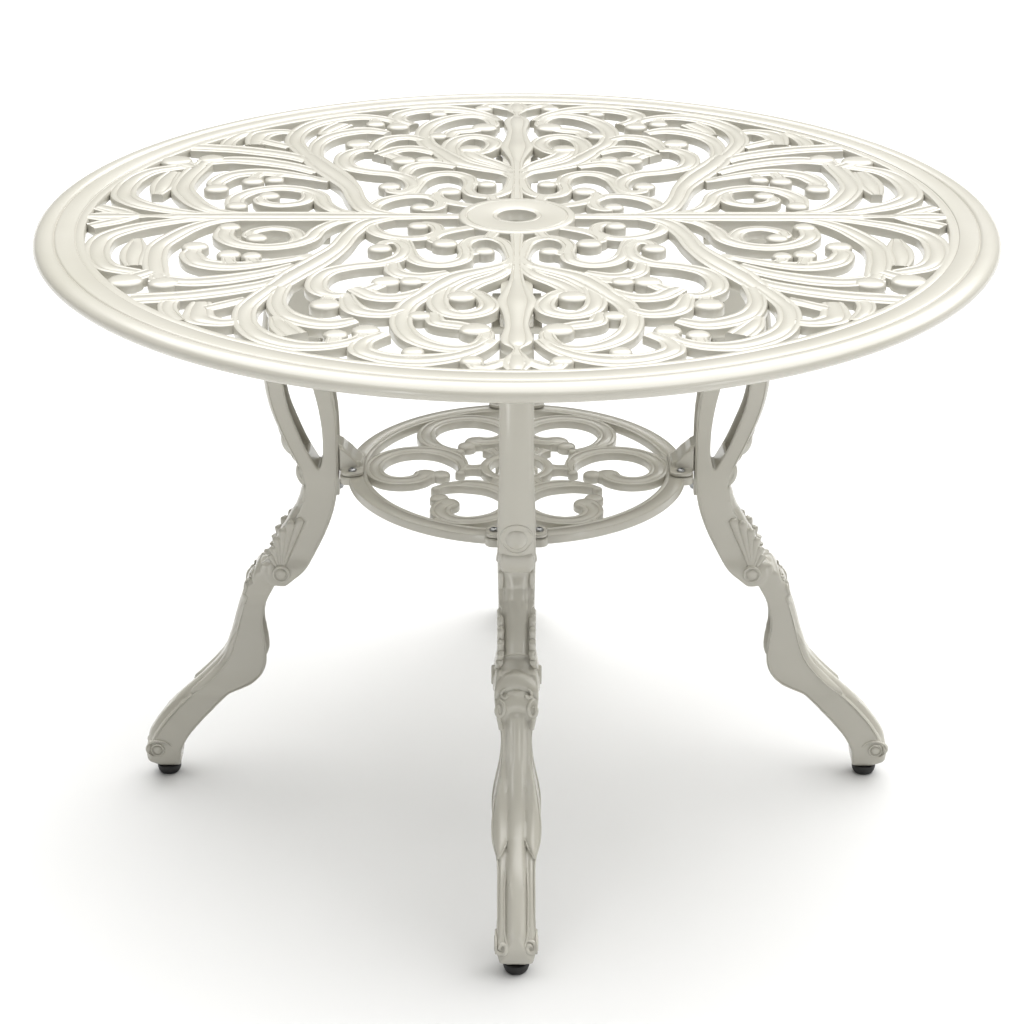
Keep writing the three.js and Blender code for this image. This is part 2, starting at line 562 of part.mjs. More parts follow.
function boltPad() {
  const shape = new THREE.Shape([
    new THREE.Vector2(legFlangeInner - padMargin, -padHalfWidth),
    new THREE.Vector2(legFlangeOuter + padMargin, -padHalfWidth),
    new THREE.Vector2(legFlangeOuter + padMargin, padHalfWidth),
    new THREE.Vector2(legFlangeInner - padMargin, padHalfWidth),
  ]);
  return slab(shape, padBase, padThickness + latticeThickness / 2);
}

function boltHoles(radius, base, depth) {
  return joined([boltInnerOut, boltOuterOut].map((out) => disc(radius, depth, out, 0, base, shankFacets)));
}

const umbrellaHole = disc(umbrellaHoleRadius, 4 * hubThickness, 0, 0, tableHeight - 2 * hubThickness, hubFacets);
const padHoles = boltHoles(boltHoleRadius, padBase - seatGap, boltHoleDepth);
const tabletop = joined([rimSolid(), latticeScrolls(), ...turnedCopies(boltPad(), legCount)])
  .subtract(umbrellaHole).add(hubSolid()).subtract(joined(turnedCopies(padHoles, legCount)));
addPiece("tabletop_casting", tabletop, castPaint(), 0);

// Cabriole leg: a cast channel, open toward the table axis, whose upper part is a two-armed loop
function legSolid() {
  const body = waistedUpright(
    legOutline(legOuterShares, legShellShares, legShinShares, legHeelShares, legInnerShares), 0,
  );
  const pinAt = (radius, proud, [out, height]) => {
    const reach = (legWidth / 2) * widthShareAt(legHeight(height)) + proud;
    return crossPin(radius, reach, legOut(out), legHeight(height), roundFacets);
  };
  const knobs = [
    pinAt(kneeEyeRadius, kneeEyeProud, kneeEyeShares),
    pinAt(footEyeRadius, footEyeProud, footEyeShares),
    pinAt(rollBeadRadius, rollBeadProud, rollBeadShares),
  ];
  const capGeometry = new THREE.SphereGeometry(capRadius, roundFacets, roundFacets / 2);
  capGeometry.scale(capSquashShare, capSquashShare, 1);
  capGeometry.translate(legOut(capShares[0]), 0, legHeight(capShares[1]));
  const flange = slab(new THREE.Shape([
    new THREE.Vector2(legFlangeInner, -legFlangeHalfWidth), new THREE.Vector2(legFlangeOuter, -legFlangeHalfWidth),
    new THREE.Vector2(legFlangeOuter, legFlangeHalfWidth), new THREE.Vector2(legFlangeInner, legFlangeHalfWidth),
  ]), flangeBase, legFlangeThickness);
  return joined([body, ...knobs, solidOf(capGeometry)])
    .subtract(upright(legOutline(legLoopShares), 2 * legWidth))
    .subtract(waistedUpright(legOutline(shinHollowShares), legWall))
    .subtract(waistedUpright(legOutline(armHollowShares), legWall))
    .add(flange)
    .subtract(boltHoles(boltHoleRadius, flangeBase - seatGap, legFlangeThickness + 2 * seatGap))
    .subtract(disc(glideStemHoleRadius, glideStemRise + 2 * seatGap, glideOut, 0, glideHeight, shankFacets))
    .subtract(radialPin(bracketBoltHoleRadius, bracketBoltSeat, bracketBoltHoleDepth, bracketBoltHeight, shankFacets));
}

// Glide under each foot: black plastic pad with a press-in stem
function glideSolid() {
  const pad = turned([
    [0, 0], [glideBaseRadius, 0], [glideRadius, glideLipHeight / 2], [glideLipRadius, glideLipHeight],
    [glideLipRadius, glideHeight - seatGap], [glideStemRadius, glideHeight - seatGap],
    [glideStemRadius, glideHeight + glideStemRise], [0, glideHeight + glideStemRise],
  ], glideFacets);
  return pad.translate([glideOut, 0, 0]);
}

// Shelf: flat ring with four lugs, six open loops with curled ends, and an eye for the umbrella pole
function loopScroll(bearing, startAngle, sweep) {
  const way = [];
  const half = [];
  for (let i = 0; i <= loopSteps; i += 1) {
    const share = i / loopSteps;
    const angle = startAngle + sweep * share;
    const curled = Math.max(0, (share - loopCurlStartShare) / (1 - loopCurlStartShare));
    const shrink = 1 - loopCurlShare * curled ** loopCurlPower;
    way.push([loopOut + loopRadius * shrink * Math.cos(angle), loopRadius * shrink * Math.sin(angle)]);
    half.push(loopHalfWidth);
  }
  const [endX, endY] = way[way.length - 1];
  const band = slab(scrollShape(way, half, 0, null, loopTurnStep), shelfBase, shelfThickness);
  const ball = disc(curlBallRadius + stemOverlap, shelfThickness, endX, endY, shelfBase, roundFacets);
  return band.add(ball).rotate([0, 0, bearing]);
}

function shelfStem(start, end, bearing) {
  const shape = new THREE.Shape([
    new THREE.Vector2(start, -stemHalfWidth), new THREE.Vector2(end, -stemHalfWidth),
    new THREE.Vector2(end, stemHalfWidth), new THREE.Vector2(start, stemHalfWidth),
  ]);
  return slab(shape, shelfBase, shelfThickness).rotate([0, 0, bearing]);
}

function roundedPlate(inner, outer, halfWidth, corner, base, thickness) {
  const shape = new THREE.Shape();
  shape.moveTo(inner, -halfWidth);
  shape.lineTo(outer - corner, -halfWidth);
  shape.quadraticCurveTo(outer, -halfWidth, outer, -halfWidth + corner);
  shape.lineTo(outer, halfWidth - corner);
  shape.quadraticCurveTo(outer, halfWidth, outer - corner, halfWidth);
  shape.lineTo(inner, halfWidth);
  shape.closePath();
  return slab(shape, base, thickness);
}

function ringSolid(inner, outer, facets) {
  return turned([[inner, shelfBase], [outer, shelfBase], [outer, shelfTop], [inner, shelfTop], [inner, shelfBase]],
    facets);
}

function screwHoles(base, depth) {
  return joined([-screwAside, screwAside].map((aside) => disc(screwHoleRadius, depth, screwOut, aside, base, shankFacets)));
}

function shelfSolid() {
  const pieces = [
    ringSolid(shelfInnerRadius, shelfOuterRadius, shelfFacets), ringSolid(shelfEyeInner, shelfEyeOuter, shelfEyeFacets),
  ];
  for (const [bearing, start, sweep] of loopTurns) {
    const loop = loopScroll(bearing, start, sweep);
    pieces.push(loop, loop.mirror([1, 0, 0]));
  }
  for (let i = 0; i < loopCount; i += 1) {
    pieces.push(shelfStem(shelfEyeOuter - stemOverlap, loopOut - loopRadius, (360 / loopCount) * i));
    pieces.push(shelfStem(loopOut + loopRadius, shelfInnerRadius + stemOverlap, (360 / loopCount) * i));
  }
  const lug = roundedPlate(lugInner, lugReach, lugHalfWidth, lugCorner, shelfBase, shelfThickness);
  const holes = screwHoles(shelfBase - seatGap, shelfThickness + 2 * seatGap);
  return joined([...pieces, ...turnedCopies(lug, legCount)]).subtract(joined(turnedCopies(holes, legCount)));
}

addPiece("shelf_casting", shelfSolid(), castPaint(), 0);

// Bracket: cast saddle in the leg's channel with a plate over the shelf lug and a bolt flange below
function bracketSolid() {
  const back = bracketBackShares.map(([out, height]) => (
    new THREE.Vector2(legOut(out) - seatGap, legHeight(height))));
  const profile = new THREE.Shape([
    new THREE.Vector2(bracketNoseOut, bracketBase), new THREE.Vector2(bracketFaceOut, bracketBase),
    new THREE.Vector2(bracketFaceOut, back[0].y), ...back,
    new THREE.Vector2(bracketSlopeOut, shelfTop + bracketSlopeRise),
    new THREE.Vector2(bracketNoseOut, shelfTop + bracketNoseRise),
  ]);
  const plate = roundedPlate(bracketPlateInner, bracketPlateOuter, bracketPlateHalf, bracketPlateCorner, bracketBase,
    bracketPlateThickness);
  return upright(profile, 2 * bracketHalfWidth).add(plate)
    .subtract(screwHoles(bracketBase - seatGap, bracketPlateThickness + 2 * seatGap))
    .subtract(radialPin(bracketBoltHoleRadius, bracketFaceOut - seatGap, bracketFlangeDepth, bracketBoltHeight,
      shankFacets));
}

function screwSolid() {
  const base = bracketBase + bracketPlateThickness + seatGap;
  return disc(screwHeadRadius, screwHeadThickness, screwOut, 0, base, shankFacets)
    .add(disc(screwRadius, screwLength, screwOut, 0, base - screwLength + seatGap, shankFacets));
}

function bracketBoltSolid() {
  const face = bracketFaceOut - seatGap;
  return radialPin(bracketBoltHeadRadius, face - bracketBoltHeadThickness, bracketBoltHeadThickness, bracketBoltHeight,
    hexSides).add(radialPin(bracketBoltRadius, face - seatGap, bracketBoltLength, bracketBoltHeight, shankFacets));
}

function legBoltSolid(out) {
  const face = flangeBase - seatGap;
  return disc(boltHeadRadius, boltHeadThickness, out, 0, face - boltHeadThickness, hexSides)
    .add(disc(boltRadius, legFlangeThickness + boltReach, out, 0, face - seatGap, shankFacets));
}

const leg = legSolid();
const glide = glideSolid();
const bracket = bracketSolid();
const screw = screwSolid();
const bracketBolt = bracketBoltSolid();
const legBolts = { inner: legBoltSolid(boltInnerOut), outer: legBoltSolid(boltOuterOut) };
const bearings = ["front", "right", "back", "left"];

bearings.forEach((side, i) => {
  const turn = (i - 1) * quarterTurn;
  addPiece(`leg_${side}`, leg, castPaint(), turn);
  addPiece(`foot_glide_${side}`, glide, blackPlastic(), turn);
  addPiece(`shelf_bracket_${side}`, bracket, castPaint(), turn);
  addPiece(`bracket_bolt_${side}`, bracketBolt, brightSteel(), turn);
  addPiece(`shelf_screw_${side}_a`, screw.translate([0, screwAside, 0]), brightSteel(), turn);
  addPiece(`shelf_screw_${side}_b`, screw.translate([0, -screwAside, 0]), brightSteel(), turn);
  addPiece(`leg_bolt_${side}_inner`, legBolts.inner, brightSteel(), turn);
  addPiece(`leg_bolt_${side}_outer`, legBolts.outer, brightSteel(), turn);
});

export default table;
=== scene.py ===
import json
import math

import bpy
import numpy as np
from mathutils import Matrix, Vector

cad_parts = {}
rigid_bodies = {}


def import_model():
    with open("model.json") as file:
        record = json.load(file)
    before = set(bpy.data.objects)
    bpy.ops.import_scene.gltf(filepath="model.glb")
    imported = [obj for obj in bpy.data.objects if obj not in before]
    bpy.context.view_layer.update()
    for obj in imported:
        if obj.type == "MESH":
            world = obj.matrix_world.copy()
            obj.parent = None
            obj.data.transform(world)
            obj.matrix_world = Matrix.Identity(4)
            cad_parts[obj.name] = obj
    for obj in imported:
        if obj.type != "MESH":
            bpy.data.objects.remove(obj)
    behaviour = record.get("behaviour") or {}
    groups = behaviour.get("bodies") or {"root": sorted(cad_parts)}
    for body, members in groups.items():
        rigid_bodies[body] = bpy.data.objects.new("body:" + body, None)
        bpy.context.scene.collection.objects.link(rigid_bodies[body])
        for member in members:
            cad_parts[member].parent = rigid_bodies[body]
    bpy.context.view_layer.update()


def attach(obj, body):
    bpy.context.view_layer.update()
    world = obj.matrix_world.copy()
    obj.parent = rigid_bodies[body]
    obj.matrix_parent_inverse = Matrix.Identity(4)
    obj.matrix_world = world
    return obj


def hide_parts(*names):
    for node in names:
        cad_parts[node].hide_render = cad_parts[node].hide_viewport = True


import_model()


# --------------------------------------------------
# Tabletop
# One round sand casting in aluminium: a rolled rim, a hub bored for the umbrella
# pole, and a pierced lattice of scrolls between them. Cream powder is baked on all
# over, and bolts from the legs' flanges go up into four pads under it.
# --------------------------------------------------
MM = 0.001
# Patterns of the coat in mm: how far a shade drifts in the bake, and one dimple of orange peel
BAKE_DRIFT, ORANGE_PEEL = 160.0, 2.4


def paint_colour(hex_code):
    """sRGB hex colour in the linear values that a shader takes."""
    channels = [int(hex_code[i:i + 2], 16) / 255 for i in (1, 3, 5)]
    return [c / 12.92 if c <= 0.04045 else ((c + 0.055) / 1.055) ** 2.4 for c in channels] + [1.0]


def add_node(tree, kind, x, y, **settings):
    """Add a shader node with its settings and the links that feed it."""
    node = tree.nodes.new(kind)
    node.location = (x, y)
    for key, value in settings.items():
        if hasattr(node, key):
            setattr(node, key, value)
        elif isinstance(value, bpy.types.NodeSocket):
            tree.links.new(value, node.inputs[key.replace("_", " ")])
        else:
            node.inputs[key.replace("_", " ")].default_value = value
    return node


def empty_finish(name):
    finish = bpy.data.materials.new(name)
    finish.use_nodes = True
    finish.node_tree.nodes.clear()
    return finish, finish.node_tree


def coated_metal(name, cream, shade, roughness):
    """Powder coat on cast metal: a satin skin with a soft gloss over it, slow drifts of
    shade from the bake, and a faint orange peel where the powder flowed."""
    finish, tree = empty_finish(name)
    place = add_node(tree, "ShaderNodeTexCoord", -800, 0)
    drift = add_node(tree, "ShaderNodeTexNoise", -500, 200, Scale=1 / (BAKE_DRIFT * MM), Detail=3.0,
                     Vector=place.outputs["Object"])
    bake = add_node(tree, "ShaderNodeMapRange", -200, 200, From_Min=0.2, From_Max=0.8, Value=drift.outputs["Fac"])
    tone = add_node(tree, "ShaderNodeMix", 200, 200, data_type="RGBA", A=paint_colour(cream), B=paint_colour(shade),
                    Factor=bake.outputs["Result"])
    peel = add_node(tree, "ShaderNodeTexNoise", -500, -260, Scale=1 / (ORANGE_PEEL * MM), Detail=1.5,
                    Vector=place.outputs["Object"])
    skin = add_node(tree, "ShaderNodeBump", 200, -260, Strength=0.10, Distance=0.2 * MM, Height=peel.outputs["Fac"])
    coat = add_node(tree, "ShaderNodeBsdfPrincipled", 600, 0, Roughness=roughness, Coat_Weight=0.35,
                    Coat_Roughness=0.15, IOR=1.5, Base_Color=tone.outputs["Result"], Normal=skin.outputs["Normal"])
    add_node(tree, "ShaderNodeOutputMaterial", 900, 0, Surface=coat.outputs["BSDF"])
    return finish


cream_coat = coated_metal("cream powder coat on cast aluminium", "#BBB8AE", "#B3B0A4", 0.27)

# Half sections: distance from the middle, and height from the top face. The rim is a full
# rolled bead, a thin groove and a flat band; the hub is a disc with a turned line and a
# ringed hole.
TOP = 715.0
RIM_PROFILE = [
    (478, -12), (503, -12), (508, -13.4), (513, -17.2), (517, -18.7), (521, -19), (526, -18.2), (530, -16.2),
    (533, -13.4), (534.6, -10.6), (535, -8.6), (534.2, -6.2), (532, -3.6), (528.5, -1.5), (524, -0.3), (519.5, 0),
    (515.5, -0.4), (513.3, -1.1), (512.4, -2.0), (511.8, -2.7), (511.2, -2.0), (510.4, -1.3), (509, -1.1),
    (490.4, -1.1), (489.6, -1.5), (489.1, -2.3), (488.5, -2.4), (487.8, -2.0), (481.5, -2.0), (479.4, -2.6),
    (478.2, -4.4), (478, -6)]
HUB_PROFILE = [
    (21.6, -14), (21.6, -3.2), (22.1, -1.9), (23.2, -1.25), (26.0, -1.15), (26.8, -1.8), (27.6, -1.25), (29, -1.0),
    (55.1, -1.0), (55.9, -1.7), (56.5, -2.1), (57.1, -1.7), (57.9, -1.0), (62.4, -1.0), (64.6, -1.5), (65.7, -2.5),
    (66, -4), (66, -14)]


def select_only(*things):
    bpy.ops.object.select_all(action="DESELECT")
    for thing in things:
        thing.select_set(True)
    bpy.context.view_layer.objects.active = things[0]


def in_scene(name, data):
    thing = bpy.data.objects.new(name, data)
    bpy.context.collection.objects.link(thing)
    return thing


def new_piece(name, points, faces):
    """Piece from points in mm."""
    mesh = bpy.data.meshes.new(name)
    mesh.from_pydata([[c * MM for c in p] for p in points], [], faces)
    return in_scene(name, mesh)


def edit_all(piece):
    """Open a piece in edit mode, with all of it selected."""
    select_only(piece)
    bpy.ops.object.mode_set(mode="EDIT")
    bpy.ops.mesh.select_all(action="SELECT")


def turn_right_side_out(piece, join_distance=0.01):
    edit_all(piece)
    bpy.ops.mesh.remove_doubles(threshold=join_distance * MM)
    bpy.ops.mesh.normals_make_consistent(inside=False)
    bpy.ops.object.mode_set(mode="OBJECT")


def turned_piece(name, profile, steps, base=0.0, axis=(0, 0, 1), centre=(0, 0, 0), closed=True):
    """Draw a half section beside the turning axis and spin it round."""
    along = Vector(axis)
    aside = Vector((1, 0, 0)) if abs(along.x) < 0.5 else Vector((0, 0, 1))
    points = [Vector(centre) + aside * r + along * (base + z) for r, z in profile]
    edges = [(i, i + 1) for i in range(len(points) - 1)] + ([(len(points) - 1, 0)] if closed else [])
    mesh = bpy.data.meshes.new(name)
    mesh.from_pydata([p * MM for p in points], edges, [])
    piece = in_scene(name, mesh)
    edit_all(piece)
    bpy.ops.mesh.spin(steps=steps, angle=2 * math.pi, center=Vector(centre) * MM, axis=along)
    bpy.ops.object.mode_set(mode="OBJECT")
    turn_right_side_out(piece)
    return piece


def join_pieces(name, pieces):
    select_only(*pieces)
    bpy.ops.object.join()
    piece = bpy.context.view_layer.objects.active
    piece.name = name
    return piece


def smooth_faces(piece, degrees=38):
    select_only(piece)
    bpy.ops.object.shade_smooth_by_angle(angle=math.radians(degrees))


def finish_piece(piece, finish, slot, *nodes):
    piece.data.materials.clear()
    piece.data.materials.append(finish)
    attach(piece, "root")
    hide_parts(*nodes)


rim = turned_piece("rim", RIM_PROFILE, 220, TOP)
hub = turned_piece("hub", HUB_PROFILE, 96, TOP)

# The lattice. One quarter is drawn as swelling scrolls, some ended by a round knob, and is
# mirrored to the other three. Places are shares of the lattice radius: along the stem,
# along the spindle, half width.
LATTICE_RADIUS, LATTICE_TOP, LATTICE_THICKNESS = 480.0, 713.0, 10.0
COAT_FILL = 0.8  # mm that the coat and the soft edges fill a scroll out on each side
SCROLLS = [
    # trunk that leaves the stem by the hub, and its two long arms that fold under the rim
    ([(.27, 0, .016), (.345, .045, .026), (.38, .13, .024), (.402, .23, .026), (.44, .325, .034), (.485, .415, .034),
      (.52, .5, .028)], None),
    ([(.5, .44, .02), (.545, .55, .023), (.57, .64, .025), (.56, .735, .026), (.52, .81, .03), (.45, .86, .03),
      (.38, .862, .024), (.325, .825, .018)], (.31, .772, .03)),
    ([(.49, .40, .018), (.503, .48, .02), (.51, .56, .02), (.505, .62, .022), (.48, .68, .027), (.435, .72, .03),
      (.385, .735, .03), (.335, .71, .018)], None),
    ([(.505, .69, .012), (.485, .745, .026), (.455, .80, .03)], None),
    ([(.375, .85, .016), (.372, .82, .016)], (.371, .797, .026)),
    # arcs that run out of the straight stem
    ([(.72, .01, .016), (.8, .04, .022), (.88, .085, .028), (.935, .15, .03), (.945, .225, .03), (.93, .31, .028),
      (.895, .37, .026), (.83, .405, .022)], None),
    ([(.62, .01, .014), (.70, .038, .02), (.748, .085, .025), (.782, .15, .028), (.807, .223, .028),
      (.806, .30, .028), (.795, .37, .028), (.78, .43, .024)], None),
    ([(.49, .355, .02), (.54, .40, .025), (.60, .435, .03), (.66, .458, .033), (.72, .465, .03), (.79, .44, .028)],
      None),
    ([(.845, .36, .018), (.855, .30, .028), (.858, .24, .03), (.862, .17, .012)], None),
    ([(.35, .01, .012), (.42, .045, .018), (.455, .1, .02), (.472, .165, .022), (.51, .21, .023), (.57, .228, .023),
      (.63, .205, .023), (.668, .15, .024), (.668, .09, .022)], (.662, .082, .027)),
    ([(.505, .2, .016), (.497, .15, .018), (.515, .105, .018), (.56, .088, .018), (.60, .108, .018),
      (.612, .14, .016)], (.592, .162, .026)),
    ([(.455, .285, .014), (.57, .345, .024), (.64, .36, .032), (.70, .335, .03), (.728, .28, .026), (.727, .25, .02)],
      (.725, .222, .031)),
    ([(.63, .35, .016), (.64, .32, .016)], (.643, .281, .028)),
    ([(.575, .335, .014), (.587, .32, .014)], (.591, .293, .024)),
    # branch toward the rim with its balls and leaves
    ([(.52, .455, .02), (.55, .487, .026), (.60, .517, .03), (.66, .543, .032), (.72, .562, .032), (.82, .58, .034)],
      None),
    ([(.80, .40, .022), (.825, .425, .026)], (.85, .457, .04)),
    ([(.785, .42, .022), (.775, .445, .024)], (.764, .473, .034)),
    ([(.715, .55, .016), (.737, .60, .02), (.73, .655, .02), (.70, .715, .016)], None),
    ([(.575, .58, .018), (.615, .61, .02), (.655, .64, .02)], None),
    ([(.668, .60, .022), (.668, .65, .03), (.658, .70, .034), (.61, .725, .024), (.56, .705, .016)], None),
    # curls round the hub
    ([(.335, .02, .014), (.335, .085, .018), (.308, .135, .02), (.26, .163, .02), (.212, .158, .018),
      (.182, .12, .016), (.186, .072, .015), (.21, .052, .012)], (.228, .072, .025)),
    ([(.1, .08, .016), (.148, .105, .017), (.182, .138, .016), (.19, .178, .014)], (.163, .2, .03)),
    ([(.008, .35, .012), (.014, .27, .014), (.028, .195, .015), (.062, .158, .016), (.1, .17, .016),
      (.118, .213, .016), (.113, .265, .017), (.122, .318, .02), (.16, .35, .021), (.203, .34, .021), (.232, .3, .02),
      (.243, .25, .018), (.252, .2, .018), (.262, .16, .016)], None),
    ([(.105, .275, .014), (.092, .265, .014)], (.073, .257, .024)),
    ([(.065, .165, .014), (.055, .13, .014), (.045, .1, .014)], None),
    # S-scroll between the trunk and the spindle
    ([(.36, .555, .016), (.398, .553, .02), (.428, .515, .024), (.433, .455, .024), (.412, .398, .024),
      (.36, .362, .023), (.3, .342, .022), (.262, .3, .021), (.252, .24, .018), (.27, .195, .014), (.3, .197, .014)],
      (.308, .238, .028)),
    ([(.365, .55, .016), (.357, .59, .02), (.345, .632, .026), (.32, .662, .027), (.275, .672, .024),
      (.24, .645, .018)], None),
    ([(.40, .56, .016), (.402, .585, .016)], (.405, .612, .034)),
    ([(.275, .34, .016), (.268, .392, .022), (.24, .424, .026), (.20, .43, .024), (.15, .405, .018)], None),
    # arms of the spindle
    ([(.005, .30, .012), (.03, .355, .018), (.085, .395, .026), (.13, .43, .032), (.16, .475, .032),
      (.195, .545, .026), (.228, .61, .025), (.24, .68, .024), (.237, .745, .024), (.215, .81, .025),
      (.172, .86, .024), (.12, .88, .022), (.078, .855, .019), (.062, .79, .016)], (.085, .765, .035)),
    ([(.01, .36, .014), (.045, .425, .022), (.09, .475, .026), (.118, .525, .026)], (.119, .562, .033)),
    ([(.15, .46, .016), (.165, .53, .022), (.168, .60, .024), (.15, .655, .024), (.112, .68, .024),
      (.072, .658, .023), (.058, .61, .022), (.078, .548, .016), (.105, .52, .014)], None),
    ([(.175, .665, .016), (.165, .72, .022), (.125, .74, .025), (.1, .75, .02)], None),
    ([(.24, .675, .016), (.225, .68, .016)], (.203, .683, .026)),
    ([(.35, .506, .02), (.3285, .53, .026), (.304, .56, .027), (.267, .57, .027), (.231, .5545, .025),
      (.20, .524, .02)], None),
    ([(.33, .525, .02), (.305, .495, .02)], (.284, .463, .032)),
    ([(.185, .455, .016), (.205, .46, .016)], (.229, .464, .027)),
    # outer arc and curls beside the rim
    ([(.27, .79, .016), (.31, .835, .022), (.312, .89, .027), (.262, .932, .03), (.195, .945, .036),
      (.128, .925, .028), (.078, .88, .02), (.048, .825, .014)], None),
    ([(.207, .935, .015), (.208, .915, .015)], (.209, .896, .024)),
    ([(0, .93, .014), (.035, .962, .018), (.07, .985, .02)], (.09, .948, .025)),
    ([(.885, 0, .014), (.93, .035, .026), (.985, .075, .022)], None),
]
STEM = [(.1, .02), (.2, .022), (.3, .03), (.45, .035), (.62, .036), (.74, .03), (.84, .012), (.88, .016), (.92, .03),
        (.965, .034), (1.0, .02)]
SPINDLE = [(.1, .018), (.2, .014), (.3, .012), (.4, .014), (.47, .02), (.53, .032), (.59, .043), (.66, .032),
           (.74, .026), (.81, .034), (.85, .03), (.885, .008), (.93, .026), (.97, .032), (1.0, .02)]


def smooth_line(points, spans=22):
    """Even curve through given points, with the width carried along."""
    line = []
    for i in range(len(points) - 1):
        p1, p2 = Vector(points[i]), Vector(points[i + 1])
        p0 = Vector(points[i - 1]) if i else p1
        p3 = Vector(points[i + 2]) if i + 2 < len(points) else p2
        for k in range(spans):
            t = k / spans
            a, b = (p2 - p0) / 2, (p3 - p1) / 2
            line.append(p1 + a * t + (3 * (p2 - p1) - 2 * a - b) * t * t + (2 * (p1 - p2) + a + b) * t ** 3)
    line.append(Vector(points[-1]))
    return line


def scroll_section(half, thickness):
    """Cross-section of a scroll: soft shoulders and two engraved lines."""
    edge = min(2.6, 0.3 * half)
    line, cut = 0.5 * half, min(1.1, 0.11 * half)
    crown = [(-half, -thickness), (-half, -edge), (-half + 0.3 * edge, -0.3 * edge), (-half + edge, 0),
             (-line - cut, 0.05), (-line, -0.75), (-line + cut, 0.05)]
    return crown + [(-x, z) for x, z in reversed(crown)]


def skin_over(rings):
    """Close a row of like rings into one skin, with a face at each end."""
    count = len(rings[0])
    points = [p for ring in rings for p in ring]
    faces = [(r * count + j, r * count + (j + 1) % count, (r + 1) * count + (j + 1) % count, (r + 1) * count + j)
             for r in range(len(rings) - 1) for j in range(count)]
    faces += [tuple(range(count)), tuple(range(len(points) - 1, len(points) - count - 1, -1))]
    return points, faces


def swept_scroll(points, top, thickness, step=9.0, bend_step=0.17):
    """Sweep the scroll section along (x, y, half width), with a ring at each step or bend."""
    line = smooth_line(points)
    rings, reach, last = [], 1.0, None
    for i, spot in enumerate(line):
        ahead = line[min(i + 1, len(line) - 1)] - line[max(i - 1, 0)]
        along = Vector((ahead.x, ahead.y)).normalized()
        if last is not None:
            reach += (spot.xy - last[0]).length / step + abs(along.angle_signed(last[1], 0)) / bend_step
        last = (spot.xy.copy(), along)
        if reach >= 1.0 or i == len(line) - 1:
            reach = 0.0
            across = Vector((-along.y, along.x))
            rings.append([(spot.x + across.x * s, spot.y + across.y * s, top + z)
                          for s, z in scroll_section(spot.z, thickness)])
    return skin_over(rings)


def domed_knob(x, y, radius, top, thickness, sides=22):
    """Round knob with a low dome; each level is a share of the radius and a height."""
    levels = [(0.42, 1.5), (0.72, 1.0), (0.9, 0.0), (0.98, -1.2), (1.0, -2.6), (1.0, -thickness)]
    points = [(x, y, top + 1.7)]
    for share, height in levels:
        points += [(x + radius * share * math.cos(2 * math.pi * k / sides),
                    y + radius * share * math.sin(2 * math.pi * k / sides), top + height) for k in range(sides)]
    faces = [(0, 1 + k, 1 + (k + 1) % sides) for k in range(sides)]
    for ring in range(len(levels) - 1):
        a, b = 1 + ring * sides, 1 + (ring + 1) * sides
        faces += [(a + k, b + k, b + (k + 1) % sides, a + (k + 1) % sides) for k in range(sides)]
    faces.append(tuple(range(len(points) - 1, len(points) - 1 - sides, -1)))
    return points, faces


def gathered(parts):
    """Points and faces of several meshes, run together as one."""
    points, faces = [], []
    for part_points, part_faces in parts:
        start = len(points)
        points += part_points
        faces += [tuple(start + i for i in face) for face in part_faces]
    return points, faces


quarter = []
for rank, (way, knob) in enumerate(SCROLLS):
    # Scrolls that cross differ a hair in height, so that no two faces lie in one plane
    top = LATTICE_TOP - 0.03 * (rank % 12)
    route = [(u * LATTICE_RADIUS, v * LATTICE_RADIUS, w * LATTICE_RADIUS + COAT_FILL) for u, v, w in way]
    if knob:
        u, v, w = [share * LATTICE_RADIUS for share in knob]
        quarter.append(swept_scroll(route + [(u, v, route[-1][2] * 0.9)], top, LATTICE_THICKNESS))
        quarter.append(domed_knob(u, v, w, top, LATTICE_THICKNESS))
    else:
        quarter.append(swept_scroll(route, top, LATTICE_THICKNESS))
quarter_points, quarter_faces = gathered(quarter)
lattice = [new_piece("lattice_quarter", [(x * sx, y * sy, z) for x, y, z in quarter_points], quarter_faces)
           for sx, sy in ((1, 1), (-1, 1), (-1, -1), (1, -1))]
for halves, axis in ((STEM, 0), (SPINDLE, 1)):
    for way in (1, -1):
        route = [(u * LATTICE_RADIUS * way * (axis == 0), u * LATTICE_RADIUS * way * (axis == 1), w * LATTICE_RADIUS)
                 for u, w in halves]
        lattice.append(new_piece("lattice_stem", *swept_scroll(route, LATTICE_TOP + 0.02, LATTICE_THICKNESS, 6.0)))
for part in lattice:
    turn_right_side_out(part, 0.001)

# Pads under the lattice, where the legs bolt on
PAD_PLACE, PAD_SIZE = (261.0, 701.5), (110.0, 34.0, 13.0)


def primitive(add, **size):
    """Add a primitive with nothing else selected."""
    bpy.ops.object.select_all(action="DESELECT")
    add(**size)
    return bpy.context.view_layer.objects.active


def square_block(place, size):
    """Block on the right-hand leg's line, by its middle (out, up) and its length, width and height."""
    block = primitive(bpy.ops.mesh.primitive_cube_add, size=1.0)
    block.data.transform(Matrix.Translation((place[0] * MM, 0, place[1] * MM))
                         @ Matrix.Diagonal((size[0] * MM, size[1] * MM, size[2] * MM, 1)))
    return block


def quarter_turns(piece, turns):
    """Turn a mesh round the pole by quarter turns."""
    piece.data.transform(Matrix.Rotation(math.pi / 2 * turns, 4, "Z"))


for turn in range(4):
    pad = square_block(PAD_PLACE, PAD_SIZE)
    edit_all(pad)
    bpy.ops.mesh.bevel(offset=1.6 * MM, segments=2, affect="EDGES")
    bpy.ops.object.mode_set(mode="OBJECT")
    quarter_turns(pad, turn)
    lattice.append(pad)

